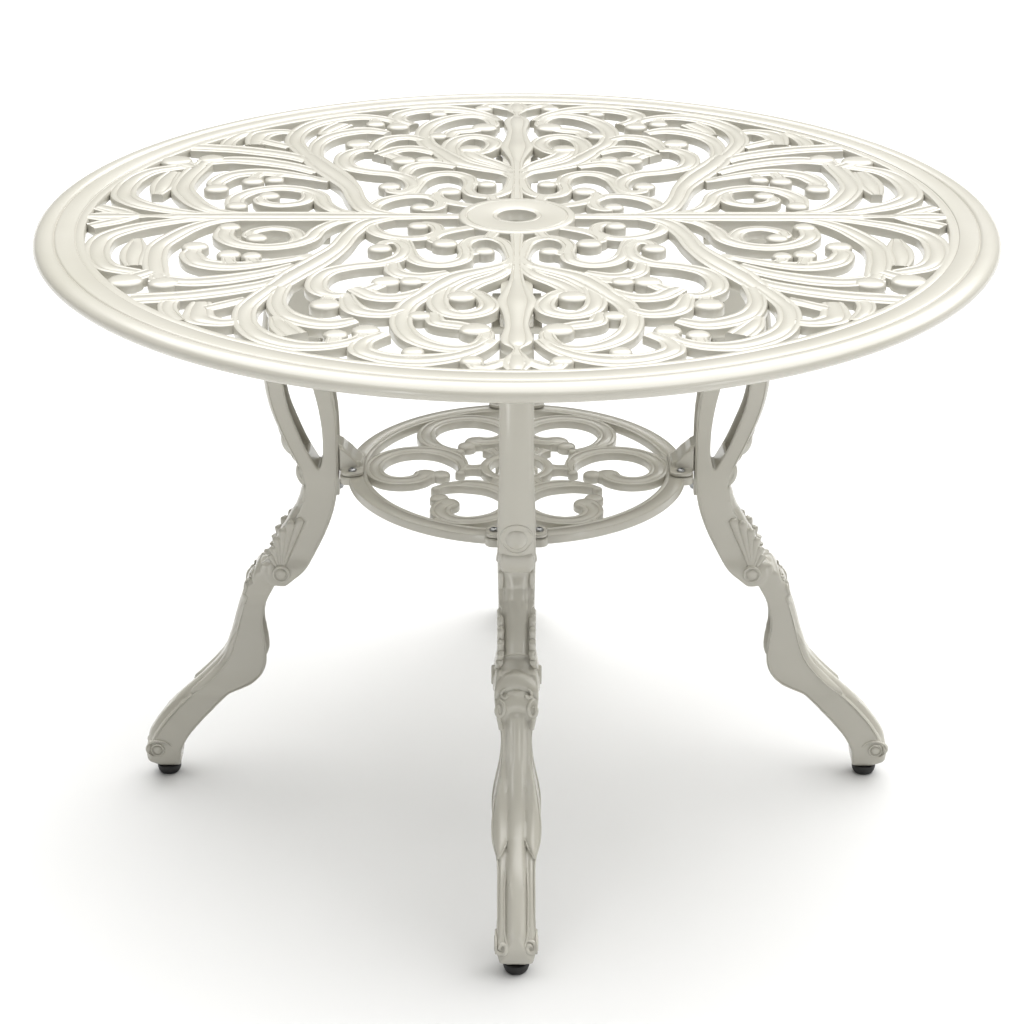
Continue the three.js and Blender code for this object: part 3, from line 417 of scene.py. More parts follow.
tabletop = join_pieces("tabletop", [rim, hub] + lattice)
smooth_faces(tabletop)
finish_piece(tabletop, cream_coat, "cast_paint", "tabletop_casting")


# --------------------------------------------------
# Four cabriole legs
# Each is one channel casting in the same coated aluminium, open toward the middle:
# two arms close in a loop under the top, a fluted shell fans out of a ringed eye at
# the knee, and the foot is scrolled. Its flange is bolted up to a pad of the top.
# --------------------------------------------------
# Side outlines, as shares of the table's height: distance from the middle, height
OUTER_ARM = [(.375, .972), (.385, .92), (.397, .86), (.405, .795), (.405, .735), (.399, .69), (.388, .654),
             (.372, .615), (.354, .575), (.346, .545), (.3445, .52)]
SHELL_EDGE = [(.349, .499), (.358, .481), (.368, .463), (.378, .447), (.385, .43), (.392, .414)]
SHIN = [(.419, .403), (.438, .372), (.455, .336), (.467, .297), (.477, .259), (.488, .231), (.509, .204), (.54, .173),
        (.572, .143), (.601, .109), (.621, .078), (.629, .056), (.628, .037), (.619, .024)]
HEEL = [(.613, .0172), (.581, .0172), (.575, .03), (.572, .053), (.56, .078), (.538, .106), (.51, .137), (.483, .165),
        (.459, .179), (.441, .19), (.426, .207), (.419, .231), (.421, .262), (.424, .294), (.418, .329), (.406, .357),
        (.393, .372)]
INNER_ARM = [(.379, .372), (.35, .396), (.329, .431), (.311, .469), (.299, .504), (.292, .54), (.289, .573),
             (.289, .608), (.289, .643), (.291, .678), (.296, .713), (.305, .762), (.316, .818), (.324, .874),
             (.33, .923), (.334, .972)]
LOOP_HOLE = [(.321, .572), (.3145, .6), (.3145, .64), (.3195, .68), (.327, .715), (.335, .75), (.342, .785),
             (.348, .815), (.354, .835), (.3635, .815), (.3715, .785), (.375, .75), (.3735, .715), (.367, .68),
             (.355, .645), (.341, .61), (.321, .572)]
CHANNEL = [(.405, .37), (.44, .325), (.455, .298), (.472, .24), (.512, .188), (.574, .122), (.586, .09), (.53, .06),
           (.4, .16), (.398, .33), (.33, .34), (.27, .44), (.26, .8), (.3, .935), (.327, .935), (.334, .83),
           (.318, .74), (.307, .68), (.305, .64), (.307, .6), (.315, .555), (.326, .505), (.343, .468), (.356, .436),
           (.372, .403)]
ARM_CHANNEL = [(.343, .6), (.357, .6), (.382, .655), (.394, .71), (.3975, .77), (.39, .855), (.37, .935),
               (.348, .935), (.353, .83), (.346, .755), (.36, .74), (.35, .675), (.33, .615)]
# In mm: middles of the turned eyes, the knee's round, half widths, the flange, heights of the ornaments
KNEE_EYE, FOOT_EYE, KNEE_RADIUS = (278.0, 280.0), (438.0, 40.0), 17.5
ARM_HALF_WIDTH, SHIN_HALF_WIDTH, CHANNEL_HALF_WIDTH = 20.0, 18.8, 15.6
FLANGE_PLACE, FLANGE_SIZE = (261.0, 690.7), (106.0, 52.0, 8.0)
DOME_HEIGHT, BARREL_HEIGHT, VOLUTE_HEIGHT, CURL_HEIGHT = 437.0, 402.0, 258.0, 41.0
# Half width of the finished casting at each height, as it shows from the front
FRONT_HALF_WIDTHS = [(12, 10.5), (15, 13.4), (19, 16.6), (25, 19.4), (33, 21.8), (45, 22.3), (62, 20.8), (90, 20.4),
                     (108, 20.5), (117, 21.4), (123, 24), (131, 26.4), (142, 27), (155, 25.4), (172, 22), (192, 18.4),
                     (212, 17), (232, 17.2), (243, 19.5), (252, 23.4), (262, 26), (275, 26.6), (286, 25), (298, 21.6),
                     (312, 19.9), (345, 20), (390, 20.8), (440, 20.5), (468, 19.4), (510, 18.1), (600, 17.8),
                     (684, 17.8)]
# Petals of the shell: bearing from the knee's eye in degrees, length, half width
PETALS = [(110, 76, 5.6), (102, 69, 6.4), (94, 58, 6.6), (85, 46, 6.4), (74, 35, 6.0), (60, 27, 5.4)]


def leg_line(shares, spans=4):
    return [(p.x, p.y) for p in smooth_line([(x * TOP, z * TOP, 0) for x, z in shares], spans)]


def drawn_out(name, outline, way):
    """Flat outline drawn out to a plate, along a way in mm."""
    plate = new_piece(name, outline, [tuple(range(len(outline)))])
    edit_all(plate)
    bpy.ops.mesh.extrude_region_move(TRANSFORM_OT_translate={"value": [c * MM for c in way]})
    bpy.ops.object.mode_set(mode="OBJECT")
    turn_right_side_out(plate)
    return plate


def radial_plate(name, outline, half_width):
    """Plate in the leg's own plane."""
    return drawn_out(name, [(x, -half_width, z) for x, z in outline], (0, 2 * half_width, 0))


def carve(piece, cutter, operation="DIFFERENCE"):
    carving = piece.modifiers.new("carve", "BOOLEAN")
    carving.operation = operation
    carving.solver = "EXACT"
    carving.object = cutter
    select_only(piece)
    bpy.ops.object.modifier_apply(modifier=carving.name)
    bpy.data.objects.remove(cutter, do_unlink=True)


def soften_casting(piece, voxel, rounds=3):
    """Run the parts together as metal runs in the mould, and round every edge a little."""
    remesh = piece.modifiers.new("run", "REMESH")
    remesh.mode = "VOXEL"
    remesh.voxel_size = voxel * MM
    relax = piece.modifiers.new("relax", "SMOOTH")
    relax.factor = 0.5
    relax.iterations = rounds
    select_only(piece)
    bpy.ops.object.modifier_apply(modifier=remesh.name)
    bpy.ops.object.modifier_apply(modifier=relax.name)


knee = [(KNEE_EYE[0] + KNEE_RADIUS * math.cos(a), KNEE_EYE[1] + KNEE_RADIUS * math.sin(a))
        for a in [math.radians(20 - 14 * k) for k in range(10)]]
arm_outline = leg_line(OUTER_ARM) + leg_line(SHELL_EDGE) + knee + leg_line(INNER_ARM)[2:]
shin_outline = [(KNEE_EYE[0] - 6, KNEE_EYE[1] + 14)] + leg_line(SHIN) + leg_line(HEEL)[:-4]
arms = radial_plate("arms", arm_outline, ARM_HALF_WIDTH)
shin = radial_plate("shin", shin_outline, SHIN_HALF_WIDTH)
carve(arms, radial_plate("hole", leg_line(LOOP_HOLE)[:-1], 2 * ARM_HALF_WIDTH))
carve(arms, shin, "UNION")
carve(arms, radial_plate("channel", leg_line(CHANNEL), CHANNEL_HALF_WIDTH))
carve(arms, radial_plate("channel", leg_line(ARM_CHANNEL), CHANNEL_HALF_WIDTH))
casting = join_pieces("leg", [arms, square_block(FLANGE_PLACE, FLANGE_SIZE)])
soften_casting(casting, 1.6)

# The front face, from the top down: a round arm, a narrow spine, three bands over the knee,
# a ribbed waist, a belly with a leaf on each side, a fluted ankle and a plain toe
FRONT = sorted([(z, x) for x, z in leg_line(OUTER_ARM + SHELL_EDGE + SHIN)])
FRONT_HEIGHTS = np.array([z for z, x in FRONT])
FRONT_REACH = np.array([x for z, x in FRONT])
WIDTH_LINE = [(p.x, p.y) for p in smooth_line([(z, half, 0) for z, half in FRONT_HALF_WIDTHS], 6)]


def half_width_at(height):
    return np.interp(height, [z for z, half in WIDTH_LINE], [half for z, half in WIDTH_LINE])


def rise(value, low, high):
    """Soft step from 0 at low to 1 at high."""
    share = np.clip((value - low) / (high - low), 0, 1)
    return share * share * (3 - 2 * share)


def round_ridge(across, half):
    """Height of a half round, as a share, across its half width."""
    return np.sqrt(np.clip(1 - (across / half) ** 2, 0, 1))


def fine_line(distance, width):
    """Height of a thin line, as a share, at a distance from its middle."""
    return np.exp(-(distance / width) ** 2)


def front_relief(height, across):
    """How far the front face stands out, in mm, at a height and a distance from the middle."""
    side = np.abs(across)
    part = side / half_width_at(height)
    arm = 4.2 * (1 - part ** 2) - 1.8 - 0.9 * fine_line(part - 0.84, 0.06)
    spine = (6.4 * round_ridge(side, 12.5) - 2.2 + 7.6 * (1 - rise(height, 340, 410))
             + 1.2 * fine_line(part - 0.95, 0.07))
    arched = height + 13 * part ** 2
    bands = 3.0 + 4.0 * (1 - part ** 2)
    for middle, half in ((300, 7.2), (285, 8), (267, 10)):
        bands = bands + 5.0 * round_ridge(arched - middle, half) - 1.7
    waist = (6.0 * round_ridge(side, 10.5) - 2.2 - 1.0 * fine_line(side - 4.6, 1.0) * rise(height, 196, 214)
             + 1.0 * fine_line(part - 0.84, 0.08))
    leaf = (0.9 - 2.6 * rise(side, 17.5, 24) + 3.2 * np.sin(np.pi * np.clip((side - 8.5) / 19, 0, 1))
            - 0.8 * fine_line(side - 15 - 0.05 * (height - 140), 1.0) * rise(height, 128, 146))
    belly = 4.6 * round_ridge(side, 10) + 0.4
    leaf_foot = 117 + 15 * np.clip((20.5 - side) / 11.5, 0, 1) ** 1.5
    on_leaf = rise(height, leaf_foot - 0.9, leaf_foot + 0.9) * rise(side, 8.2, 10.2)
    flute = 1.6 * fine_line(side - 6 - 0.13 * (height - 84), 1.3) * rise(height, 82, 92) * (1 - rise(height, 112, 124))
    ankle = 4.8 * round_ridge(side, 10) + 0.4 - 3.4 * rise(side, 6.5, 11) + 2.6 * fine_line(side - 15.8, 2.8) + flute
    lower = belly * (1 - on_leaf) + np.maximum(belly * (1 - rise(side, 8.2, 10.2)), leaf * on_leaf) * on_leaf
    lower = np.where(height > leaf_foot, lower, ankle * (1 - on_leaf) + lower * on_leaf)
    toe = 3.4 * rise(8 + 0.55 * (46 - height) - side, -1.6, 2.2) - 0.6
    # Each form gives way to the next one down between two heights, along an arch of so many mm
    shape = arm
    for under, arch, low, high in ((spine, 0, 376, 398), (bands, 13, 302, 307), (waist, 7, 250, 255),
                                   (lower, 0, 182, 206), (toe, 0, 42, 58)):
        share = rise(height + arch * part ** 2, low, high)
        shape = shape * share + under * (1 - share)
    return shape


def front_place(height, across, lift):
    """Point on the carved front face, with its outward direction in the leg's plane."""
    ahead, behind = (float(np.interp(height + d, FRONT_HEIGHTS, FRONT_REACH)) for d in (3, -3))
    along = Vector((ahead - behind, 0, 6)).normalized()
    outward = Vector((along.z, 0, -along.x))
    stand = float(front_relief(np.array([height]), np.array([across]))[0]) + lift
    reach = float(np.interp(height, FRONT_HEIGHTS, FRONT_REACH))
    return Vector((reach, across, height)) + outward * stand, outward, along


count = len(casting.data.vertices)
flat = np.empty(count * 3)
casting.data.vertices.foreach_get("co", flat)
spots = flat.reshape(-1, 3) / MM
x, y, z = spots.T

# The walls are drawn in and out to the waisted front, below the flange
WALL_SKIN, FLANGE_FOOT = 0.8, 685
knee_blend = rise(z, 236, 262)
cast_half = (ARM_HALF_WIDTH + WALL_SKIN) * knee_blend + (SHIN_HALF_WIDTH + WALL_SKIN) * (1 - knee_blend)
y *= np.where(z > FLANGE_FOOT, 1.0, half_width_at(z) / cast_half)

# The field behind the shell's petals is sunk
FIELD_DEPTH = 2.2
reach = np.hypot(x - KNEE_EYE[0], z - KNEE_EYE[1])
bearing = np.degrees(np.arctan2(z - KNEE_EYE[1], x - KNEE_EYE[0]))
field = (rise(bearing, 48, 54) * (1 - rise(bearing, 113, 118)) * (1 - rise(reach, 70, 78))
         * rise(np.abs(y), 16.4, 17.6))
y -= np.sign(y) * FIELD_DEPTH * field

# Each point is set against the nearest place on the front outline, and raised there
line = np.column_stack([FRONT_REACH, FRONT_HEIGHTS])
nearest = np.full(count, 1e9)
foot_height = np.zeros(count)
for start, run in zip(line[:-1], np.diff(line, axis=0)):
    length = float(run @ run)
    if length < 1e-6:
        continue
    share = np.clip(((x - start[0]) * run[0] + (z - start[1]) * run[1]) / length, 0, 1)
    gap = np.hypot(x - start[0] - share * run[0], z - start[1] - share * run[1])
    closer = gap < nearest
    nearest = np.where(closer, gap, nearest)
    foot_height = np.where(closer, start[1] + share * run[1], foot_height)
slope = (np.interp(foot_height + 8, FRONT_HEIGHTS, FRONT_REACH)
         - np.interp(foot_height - 8, FRONT_HEIGHTS, FRONT_REACH)) / 16
outward = np.column_stack([np.ones(count), -slope]) / np.hypot(1, slope)[:, None]
hold = (1 - rise(nearest, 2.2, 4.6)) * (1 - rise(z, 676, 684)) * rise(z, 14, 24)
lift = front_relief(foot_height, y) * hold
x += outward[:, 0] * lift
z += outward[:, 1] * lift
casting.data.vertices.foreach_set("co", (spots * MM).ravel())
casting.data.update()
select_only(casting)
settle = casting.modifiers.new("settle", "SMOOTH")
settle.factor, settle.iterations = 0.5, 1
bpy.ops.object.modifier_apply(modifier=settle.name)

ACROSS = Vector((0, 1, 0))


def raised_line(points, radius, ends=1.0):
    """Raised moulding along a line in space, round in section, thinned at both ends."""
    curve = bpy.data.curves.new("moulding", "CURVE")
    curve.dimensions = "3D"
    curve.bevel_depth = radius * MM
    curve.bevel_resolution = 3
    curve.use_fill_caps = True
    spline = curve.splines.new("POLY")
    spline.points.add(len(points) - 1)
    for k, (spot, place) in enumerate(zip(spline.points, points)):
        spot.co = (place[0] * MM, place[1] * MM, place[2] * MM, 1)
        near = min(k, len(points) - 1 - k) / max(1, len(points) // 6)
        spot.radius = ends + (1 - ends) * min(1.0, near)
    line = in_scene("moulding", curve)
    select_only(line)
    bpy.ops.object.convert(target="MESH")
    return line


def boss(centre, axes, radii):
    """Rounded swelling, a ball stretched along three axes."""
    ball = primitive(bpy.ops.mesh.primitive_uv_sphere_add, segments=28, ring_count=16, radius=1.0)
    place = Matrix.Translation(Vector(centre) * MM)
    turn = Matrix([[axes[c][r] for c in range(3)] for r in range(3)]).to_4x4()
    ball.data.transform(place @ turn @ Matrix.Diagonal((radii[0] * MM, radii[1] * MM, radii[2] * MM, 1)))
    turn_right_side_out(ball)
    return ball


def boss_on_front(height, across, lift, radii):
    """Swelling on the front face, with its radii across, along and out of the leg."""
    spot, outward, along = front_place(height, across, lift)
    return boss(spot, (ACROSS, along, outward), radii)


def line_on_front(route, steps, radius, ends=1.0):
    """Raised moulding over the front face; route turns a share into height, across and lift."""
    return raised_line([front_place(*route(k / steps))[0] for k in range(steps + 1)], radius, ends)


def spiral_on_front(height, across, size, turns, radius, way, stretch, start):
    """Raised volute on the front face, wound inward from its start angle."""
    def route(share):
        angle = start + way * 2 * math.pi * turns * share
        reach = size * (1 - 0.78 * share)
        return height + stretch * reach * math.sin(angle), across + reach * math.cos(angle), 0.1
    return line_on_front(route, 29, radius, 0.5)


# Collar, dome and ring on the arm, and under them a squashed barrel with an eye at each end
trim = [boss_on_front(DOME_HEIGHT, 0, -5.6, (19.2, 23.5, 6.6)),
        boss_on_front(DOME_HEIGHT, 0, -5.0, (13.0, 17.0, 11.0)),
        line_on_front(lambda t: (DOME_HEIGHT + 1 + 20.5 * math.sin(2 * math.pi * t),
                                 16.6 * math.cos(2 * math.pi * t), -0.2), 40, 1.2)]
BARREL_HALF = [(0, 18.8), (5.0, 18.6), (8.0, 18.0), (10.4, 17.0), (12.2, 15.6), (13.2, 13.4), (13.3, 8.0), (13.3, 0)]
spot, outward, along = front_place(BARREL_HEIGHT, 0, -4.6)
barrel = turned_piece("barrel", BARREL_HALF + [(r, -y) for r, y in reversed(BARREL_HALF[:-1])], 36, axis=ACROSS,
                      closed=False)
lay = Matrix([[axis[row] for axis in (ACROSS, along, outward)] for row in range(3)]).to_4x4()
barrel.data.transform(Matrix.Translation(spot * MM) @ lay @ Matrix.Diagonal((1, 1.12, 0.66, 1)) @ lay.transposed())
trim.append(barrel)
for side in (-1, 1):
    middle = front_place(BARREL_HEIGHT, side * 14.4, 0)[0] + outward * 1.2
    ring = [middle + ACROSS * 3.9 * math.cos(a) + along * 7.6 * math.sin(a)
            + outward * (1.1 - 1.3 * side * math.cos(a)) for a in [2 * math.pi * k / 24 for k in range(25)]]
    trim += [
        boss(middle, (ACROSS, along, outward), (2.0, 3.8, 3.6)),
        raised_line(ring, 1.0),
        line_on_front(lambda t: (BARREL_HEIGHT - 11 - 22 * t, side * (17.6 - 1.2 * math.sin(math.pi * t)), 0.4),
                      10, 3.0, 0.15),
        # Volutes and pointed drops at the sides of the knee
        spiral_on_front(VOLUTE_HEIGHT, side * 18.4, 6.4, 1.1, 2.4, side, 1.5, math.pi / 2),
        line_on_front(lambda t: (VOLUTE_HEIGHT - 6 - 15 * t, side * (19.4 - 3.2 * t), 0.2), 10, 2.6, 0.1),
        spiral_on_front(VOLUTE_HEIGHT + 14, side * 12.0, 5.4, 0.8, 1.9, -side, 1.0, math.pi / 2),
        # Leaf edges on the belly, ribs on the ankle, curls and lips of the foot
        line_on_front(lambda t: (131.5 - 14.5 * (1 - (1 - t) ** 1.6), side * (9.4 + 11.6 * t), 0.2 - 1.0 * t),
                      14, 1.1, 0.3),
        line_on_front(lambda t: (112 - 60 * t, side * (11.6 + 1.2 * math.sin(math.pi * t)), 0.2), 16, 1.3, 0.2),
        spiral_on_front(CURL_HEIGHT, side * 15.2, 7.2, 1.3, 2.6, -side, 1.15,
                        math.pi * (0.5 + 0.5 * (side < 0)) + 0.6 * side),
        line_on_front(lambda t: (CURL_HEIGHT + 21 - 20 * t, side * (13.2 - 4.2 * t ** 1.4), 0.2), 10, 1.6, 0.3)]

# Fluted shell: petals on both walls that fan out of the knee's eye
PETAL_START, PETAL_STEPS, PETAL_SIDES = 9, 12, 12
for bearing, length, girth in PETALS:
    lean = math.radians(bearing)
    ray = Vector((math.cos(lean), 0, math.sin(lean)))
    beside = Vector((-math.sin(lean), 0, math.cos(lean)))
    for side in (-1, 1):
        rings = []
        for k in range(PETAL_STEPS + 1):
            share = k / PETAL_STEPS
            taper = math.sqrt(max(0.0, 1 - max(0.0, (share - 0.86) / 0.14) ** 2))
            width = girth * min(1.0, 0.34 + 0.72 * share) * taper
            depth = (3.6 + 0.4 * share) * min(1.0, width / 3)
            spot = Vector((KNEE_EYE[0], 0, KNEE_EYE[1])) + ray * (PETAL_START + (length - PETAL_START) * share)
            wall = float(half_width_at(spot.z)) - 2.6
            rings.append([spot + beside * width * math.cos(a) + Vector((0, side * (wall + depth * math.sin(a)), 0))
                          for a in [2 * math.pi * j / PETAL_SIDES for j in range(PETAL_SIDES)]])
        petal = new_piece("petal", *skin_over(rings))
        turn_right_side_out(petal, 0.05)
        trim.append(petal)

# Turned eyes on the walls of the knee and the foot
for (out, up), radius in ((KNEE_EYE, 11.0), (FOOT_EYE, 9.0)):
    reach = float(half_width_at(up)) + 1.2
    half = [(0, reach), (0.42 * radius, reach - 0.3), (0.56 * radius, reach - 1.2), (0.6 * radius, reach - 2.0),
            (0.68 * radius, reach - 2.0), (0.76 * radius, reach - 0.4), (0.88 * radius, reach),
            (0.97 * radius, reach - 0.9), (radius, reach - 4.0)]
    trim.append(turned_piece("eye", half + [(r, -z) for r, z in reversed(half)], 32, axis=ACROSS, centre=(out, 0, up),
                             closed=False))

# Thin beads along the edges of the walls, and the scroll round the foot's eye
for side in (-1, 1):
    for border, inset in ((INNER_ARM[2:], 3.2), (OUTER_ARM[:9], -3.2), (SHIN[2:11], -3.0), (HEEL[4:15], 2.6)):
        bead = [Vector((x + inset, side * (float(half_width_at(z)) - 0.7), z)) for x, z in leg_line(border)]
        trim.append(raised_line(bead, 0.9, 0.4))
    scroll = [(FOOT_EYE[0] + (11.5 + 1.5 * a) * math.cos(-1.2 + a), side * (float(half_width_at(FOOT_EYE[1])) - 0.6),
               FOOT_EYE[1] + (10 + 0.9 * a) * math.sin(-1.2 + a)) for a in [0.16 * k for k in range(26)]]
    trim.append(raised_line(scroll, 1.2, 0.5))

SIDES = ("front", "right", "back", "left")


def set_round_the_table(model, name, finish, slot, node):
    """Give each side its own copy of a piece that is modelled on the right."""
    for turn, side in enumerate(SIDES):
        piece = model.copy()
        piece.data = model.data.copy()
        quarter_turns(piece, turn - 1)
        piece.name = f"{name}-{side}"
        bpy.context.collection.objects.link(piece)
        finish_piece(piece, finish, slot, f"{node}_{side}")
    bpy.data.objects.remove(model, do_unlink=True)


leg = join_pieces("leg", [casting] + trim)
smooth_faces(leg, 62)
set_round_the_table(leg, "leg", cream_coat, "cast_paint", "leg")


# --------------------------------------------------
# Pierced shelf
# One flat casting in the same coated aluminium: a ring joined to a small ring round
# the pole by six open loops with curled ends. Its four lugs lie under the brackets,
# and two screws go down into each.
# --------------------------------------------------
SHELF_TOP, SHELF_THICKNESS = 408.0, 10.0
RING_INNER, RING_OUTER, EYE_INNER, EYE_OUTER = 175.0, 197.0, 31.0, 43.0
LOOP_OUT, LOOP_RADIUS, LOOP_HALF_WIDTH = 115.0, 52.0, 11.0
LUG_INNER, LUG_OUTER, LUG_HALF_LENGTH, EAR_RADIUS = 180.0, 205.0, 35.0, 9.5
# Three loops, each with its mirror: bearing in degrees, start and sweep of the bar in radians
LOOPS = [(0, 3.4, -5.4), (60, -2.4, 5.6), (-60, 1.9, 5.3)]


def flat_ring_profile(inner, outer):
    """Half section of a flat ring with soft edges and one engraved line."""
    line = inner + 0.24 * (outer - inner)
    return [(inner, -SHELF_THICKNESS), (inner, -1.6), (inner + 0.5, -0.5), (inner + 1.6, 0), (line - 0.9, 0),
            (line, -0.7), (line + 0.9, 0), (outer - 1.6, 0), (outer - 0.5, -0.5), (outer, -1.6),
            (outer, -SHELF_THICKNESS)]


def loop_place(angle, reach, turn, mirror):
    """Place on a loop, turned round the pole and mirrored."""
    x, y = LOOP_OUT + reach * math.cos(angle), reach * math.sin(angle)
    return mirror * (x * math.cos(turn) - y * math.sin(turn)), x * math.sin(turn) + y * math.cos(turn)


shelf_parts = [turned_piece("ring", flat_ring_profile(RING_INNER, RING_OUTER), 128, SHELF_TOP),
               turned_piece("eye", flat_ring_profile(EYE_INNER, EYE_OUTER), 72, SHELF_TOP)]
pieces = []
for bearing, start, sweep in LOOPS:
    for mirror in (1, -1):
        turn = math.radians(bearing)
        route = []
        for k in range(19):
            share = k / 18
            reach = LOOP_RADIUS * (1 - 0.62 * max(0, (share - 0.74) / 0.26) ** 1.5)
            swell = min(1.0, 0.34 + 4.2 * share) * (1 + 0.12 * max(0, (share - 0.7) / 0.3))
            route.append((*loop_place(start + sweep * share, reach, turn, mirror), LOOP_HALF_WIDTH * swell))
        top = SHELF_TOP - 0.05 * (1 + len(pieces) % 3)
        pieces.append(swept_scroll(route, top, SHELF_THICKNESS - 0.3, 5.0))
        # Two knobs make the curled end, and a small one rounds the start
        way = 1 if sweep > 0 else -1
        end = start + sweep
        for angle, reach, radius in ((end, 21.5, 14.6), (end + way * 0.52, 33.0, 11.0),
                                     (start - way * 0.03, LOOP_RADIUS - 0.5, 6.0)):
            x, y = loop_place(angle, reach, turn, mirror)
            pieces.append(domed_knob(x, y, radius, top - 1.4, SHELF_THICKNESS - 2))
# Short waisted bars from the small ring to each loop, and from each loop to the large ring
for k in range(6):
    along = Vector((math.cos(math.pi / 3 * k), math.sin(math.pi / 3 * k)))
    for start, end in ((EYE_OUTER - 4, LOOP_OUT - LOOP_RADIUS), (LOOP_OUT + LOOP_RADIUS, RING_INNER + 4)):
        middle = (start + end) / 2
        pieces.append(swept_scroll([(*(along * start), 10.0), (*(along * middle), 7.0), (*(along * end), 10.5)],
                                   SHELF_TOP - 0.3, SHELF_THICKNESS - 0.5, 3.0))
loops_piece = new_piece("loops", *gathered(pieces))
turn_right_side_out(loops_piece, 0.001)
shelf_parts.append(loops_piece)


def level_plate(name, inner, outer, half_length, low, high, corner, soft):
    """Plate across the leg's direction, with rounded ears at both ends."""
    outline = []
    for ox, oy, first in ((outer, half_length, 0), (inner, half_length, 90), (inner, -half_length, 180),
                          (outer, -half_length, 270)):
        cx, cy = ox - math.copysign(corner, ox - (inner + outer) / 2), oy - math.copysign(corner, oy)
        outline += [(cx + corner * math.cos(a), cy + corner * math.sin(a))
                    for a in [math.radians(first + 15 * k) for k in range(7)]]
    plate = drawn_out(name, [(x, y, low) for x, y in outline], (0, 0, high - low))
    if soft:
        rounding = plate.modifiers.new("round", "BEVEL")
        rounding.width, rounding.segments, rounding.limit_method = soft * MM, 3, "ANGLE"
        select_only(plate)
        bpy.ops.object.modifier_apply(modifier=rounding.name)
    return plate


for turn in range(4):
    lug = level_plate("lug", LUG_INNER, LUG_OUTER, LUG_HALF_LENGTH, SHELF_TOP - SHELF_THICKNESS + 0.1, SHELF_TOP - 0.1,
                      EAR_RADIUS, 1.6)
    quarter_turns(lug, turn)
    shelf_parts.append(lug)
shelf = join_pieces("shelf", shelf_parts)
smooth_faces(shelf)
finish_piece(shelf, cream_coat, "cast_paint", "shelf_casting")


# --------------------------------------------------
# Four brackets between the legs and the shelf
# Cast aluminium saddles in the same coat: each fills its leg's channel, its plate
# lies on the shelf's lug under two screws, and one bolt below holds it to the leg.
# --------------------------------------------------
BRACKET_BASE = 408.3
SADDLE = [(180, BRACKET_BASE + 0.6), (206.7, BRACKET_BASE + 0.6), (206.7, 377), (229, 377), (226, 397), (219.2, 429),
          (217.8, 444.7), (210, 443.5), (202, 439), (195, 430), (189, 423), (180, 418.5)]
SHOULDER = [(206.7, 377), (229, 377), (222, 412), (206.7, 412)]
NOSE = [(183, BRACKET_BASE + 0.6), (205.6, BRACKET_BASE + 0.6), (205.6, 438), (201, 436), (192, 428), (185, 420)]
bracket = join_pieces("bracket", [
    radial_plate("saddle", SADDLE, 14.4),
    level_plate("plate", 177.4, 204.0, 34.0, BRACKET_BASE + 0.5, BRACKET_BASE + 4.8, EAR_RADIUS, 0),
    radial_plate("shoulder", SHOULDER, 14.0),
    radial_plate("nose", NOSE, 18.6)])
soften_casting(bracket, 1.0, 7)
smooth_faces(bracket, 55)
set_round_the_table(bracket, "bracket", cream_coat, "cast_paint", "shelf_bracket")


# --------------------------------------------------
# Black glides under the feet
# Pads with a soft lip, moulded in black nylon in one with a short stem that is
# pressed up into the foot.
# --------------------------------------------------
GLIDE_OUT = 428.0
GLIDE_PROFILE = [(0, 0), (10.6, 0), (11.7, 0.5), (13.2, 3.0), (14.3, 6.4), (14.5, 8.6), (14.3, 11), (13.6, 11.7),
                 (4, 11.7), (4, 24), (0, 24)]


def mottled_skin(name, light, dark, mottle, detail, **shader):
    """Material in two near shades, mottled over a size in mm."""
    finish, tree = empty_finish(name)
    place = add_node(tree, "ShaderNodeTexCoord", -500, 0)
    cloud = add_node(tree, "ShaderNodeTexNoise", -250, 0, Scale=1 / (mottle * MM), Detail=detail,
                     Vector=place.outputs["Object"])
    tone = add_node(tree, "ShaderNodeMix", 200, 100, data_type="RGBA", A=paint_colour(light), B=paint_colour(dark),
                    Factor=cloud.outputs["Fac"])
    skin = add_node(tree, "ShaderNodeBsdfPrincipled", 600, 0, Base_Color=tone.outputs["Result"], **shader)
    add_node(tree, "ShaderNodeOutputMaterial", 900, 0, Surface=skin.outputs["BSDF"])
    return finish


# Nylon as it leaves the mould: a dull black skin, greyed by scuffs about 4 mm across
black_glide = mottled_skin("black moulded nylon", "#141414", "#232322", 4.0, 4.0, Roughness=0.52)
glide = turned_piece("glide", GLIDE_PROFILE, 40, centre=(GLIDE_OUT, 0, 0), closed=False)
smooth_faces(glide)
set_round_the_table(glide, "glide", black_glide, "glide_black", "foot_glide")


# --------------------------------------------------
# Bolts and screws
# Zinc-plated steel: round-headed screws in the brackets' plates, a like bolt low in
# each bracket, and two hexagon bolts up through each leg's flange, out of sight, for
# which the plain solids serve.
# --------------------------------------------------
# Bright zinc on steel: a light grey metal dulled in patches, drawn 1.6 mm across, coarser
# than the real spangle, so that they show
zinc_steel = mottled_skin("bright zinc-plated steel", "#B9BABA", "#8E9092", 1.6, 3.0, Metallic=1.0, Roughness=0.36)
# Head radius and height, shank radius and length
BOLT_SIZE, SCREW_SIZE = (6.2, 4.2, 3.2, 26.6), (5.0, 2.6, 2.4, 13.4)


def hex_recess(piece, centre, axis, across_flats, depth):
    """Sink a hexagon socket into a head."""
    key = primitive(bpy.ops.mesh.primitive_cylinder_add, vertices=6, radius=across_flats / math.sqrt(3) * MM,
                    depth=2 * depth * MM)
    lay = Vector(axis).to_track_quat("Z", "Y").to_matrix().to_4x4()
    key.data.transform(Matrix.Translation(Vector(centre) * MM) @ lay)
    carve(piece, key)


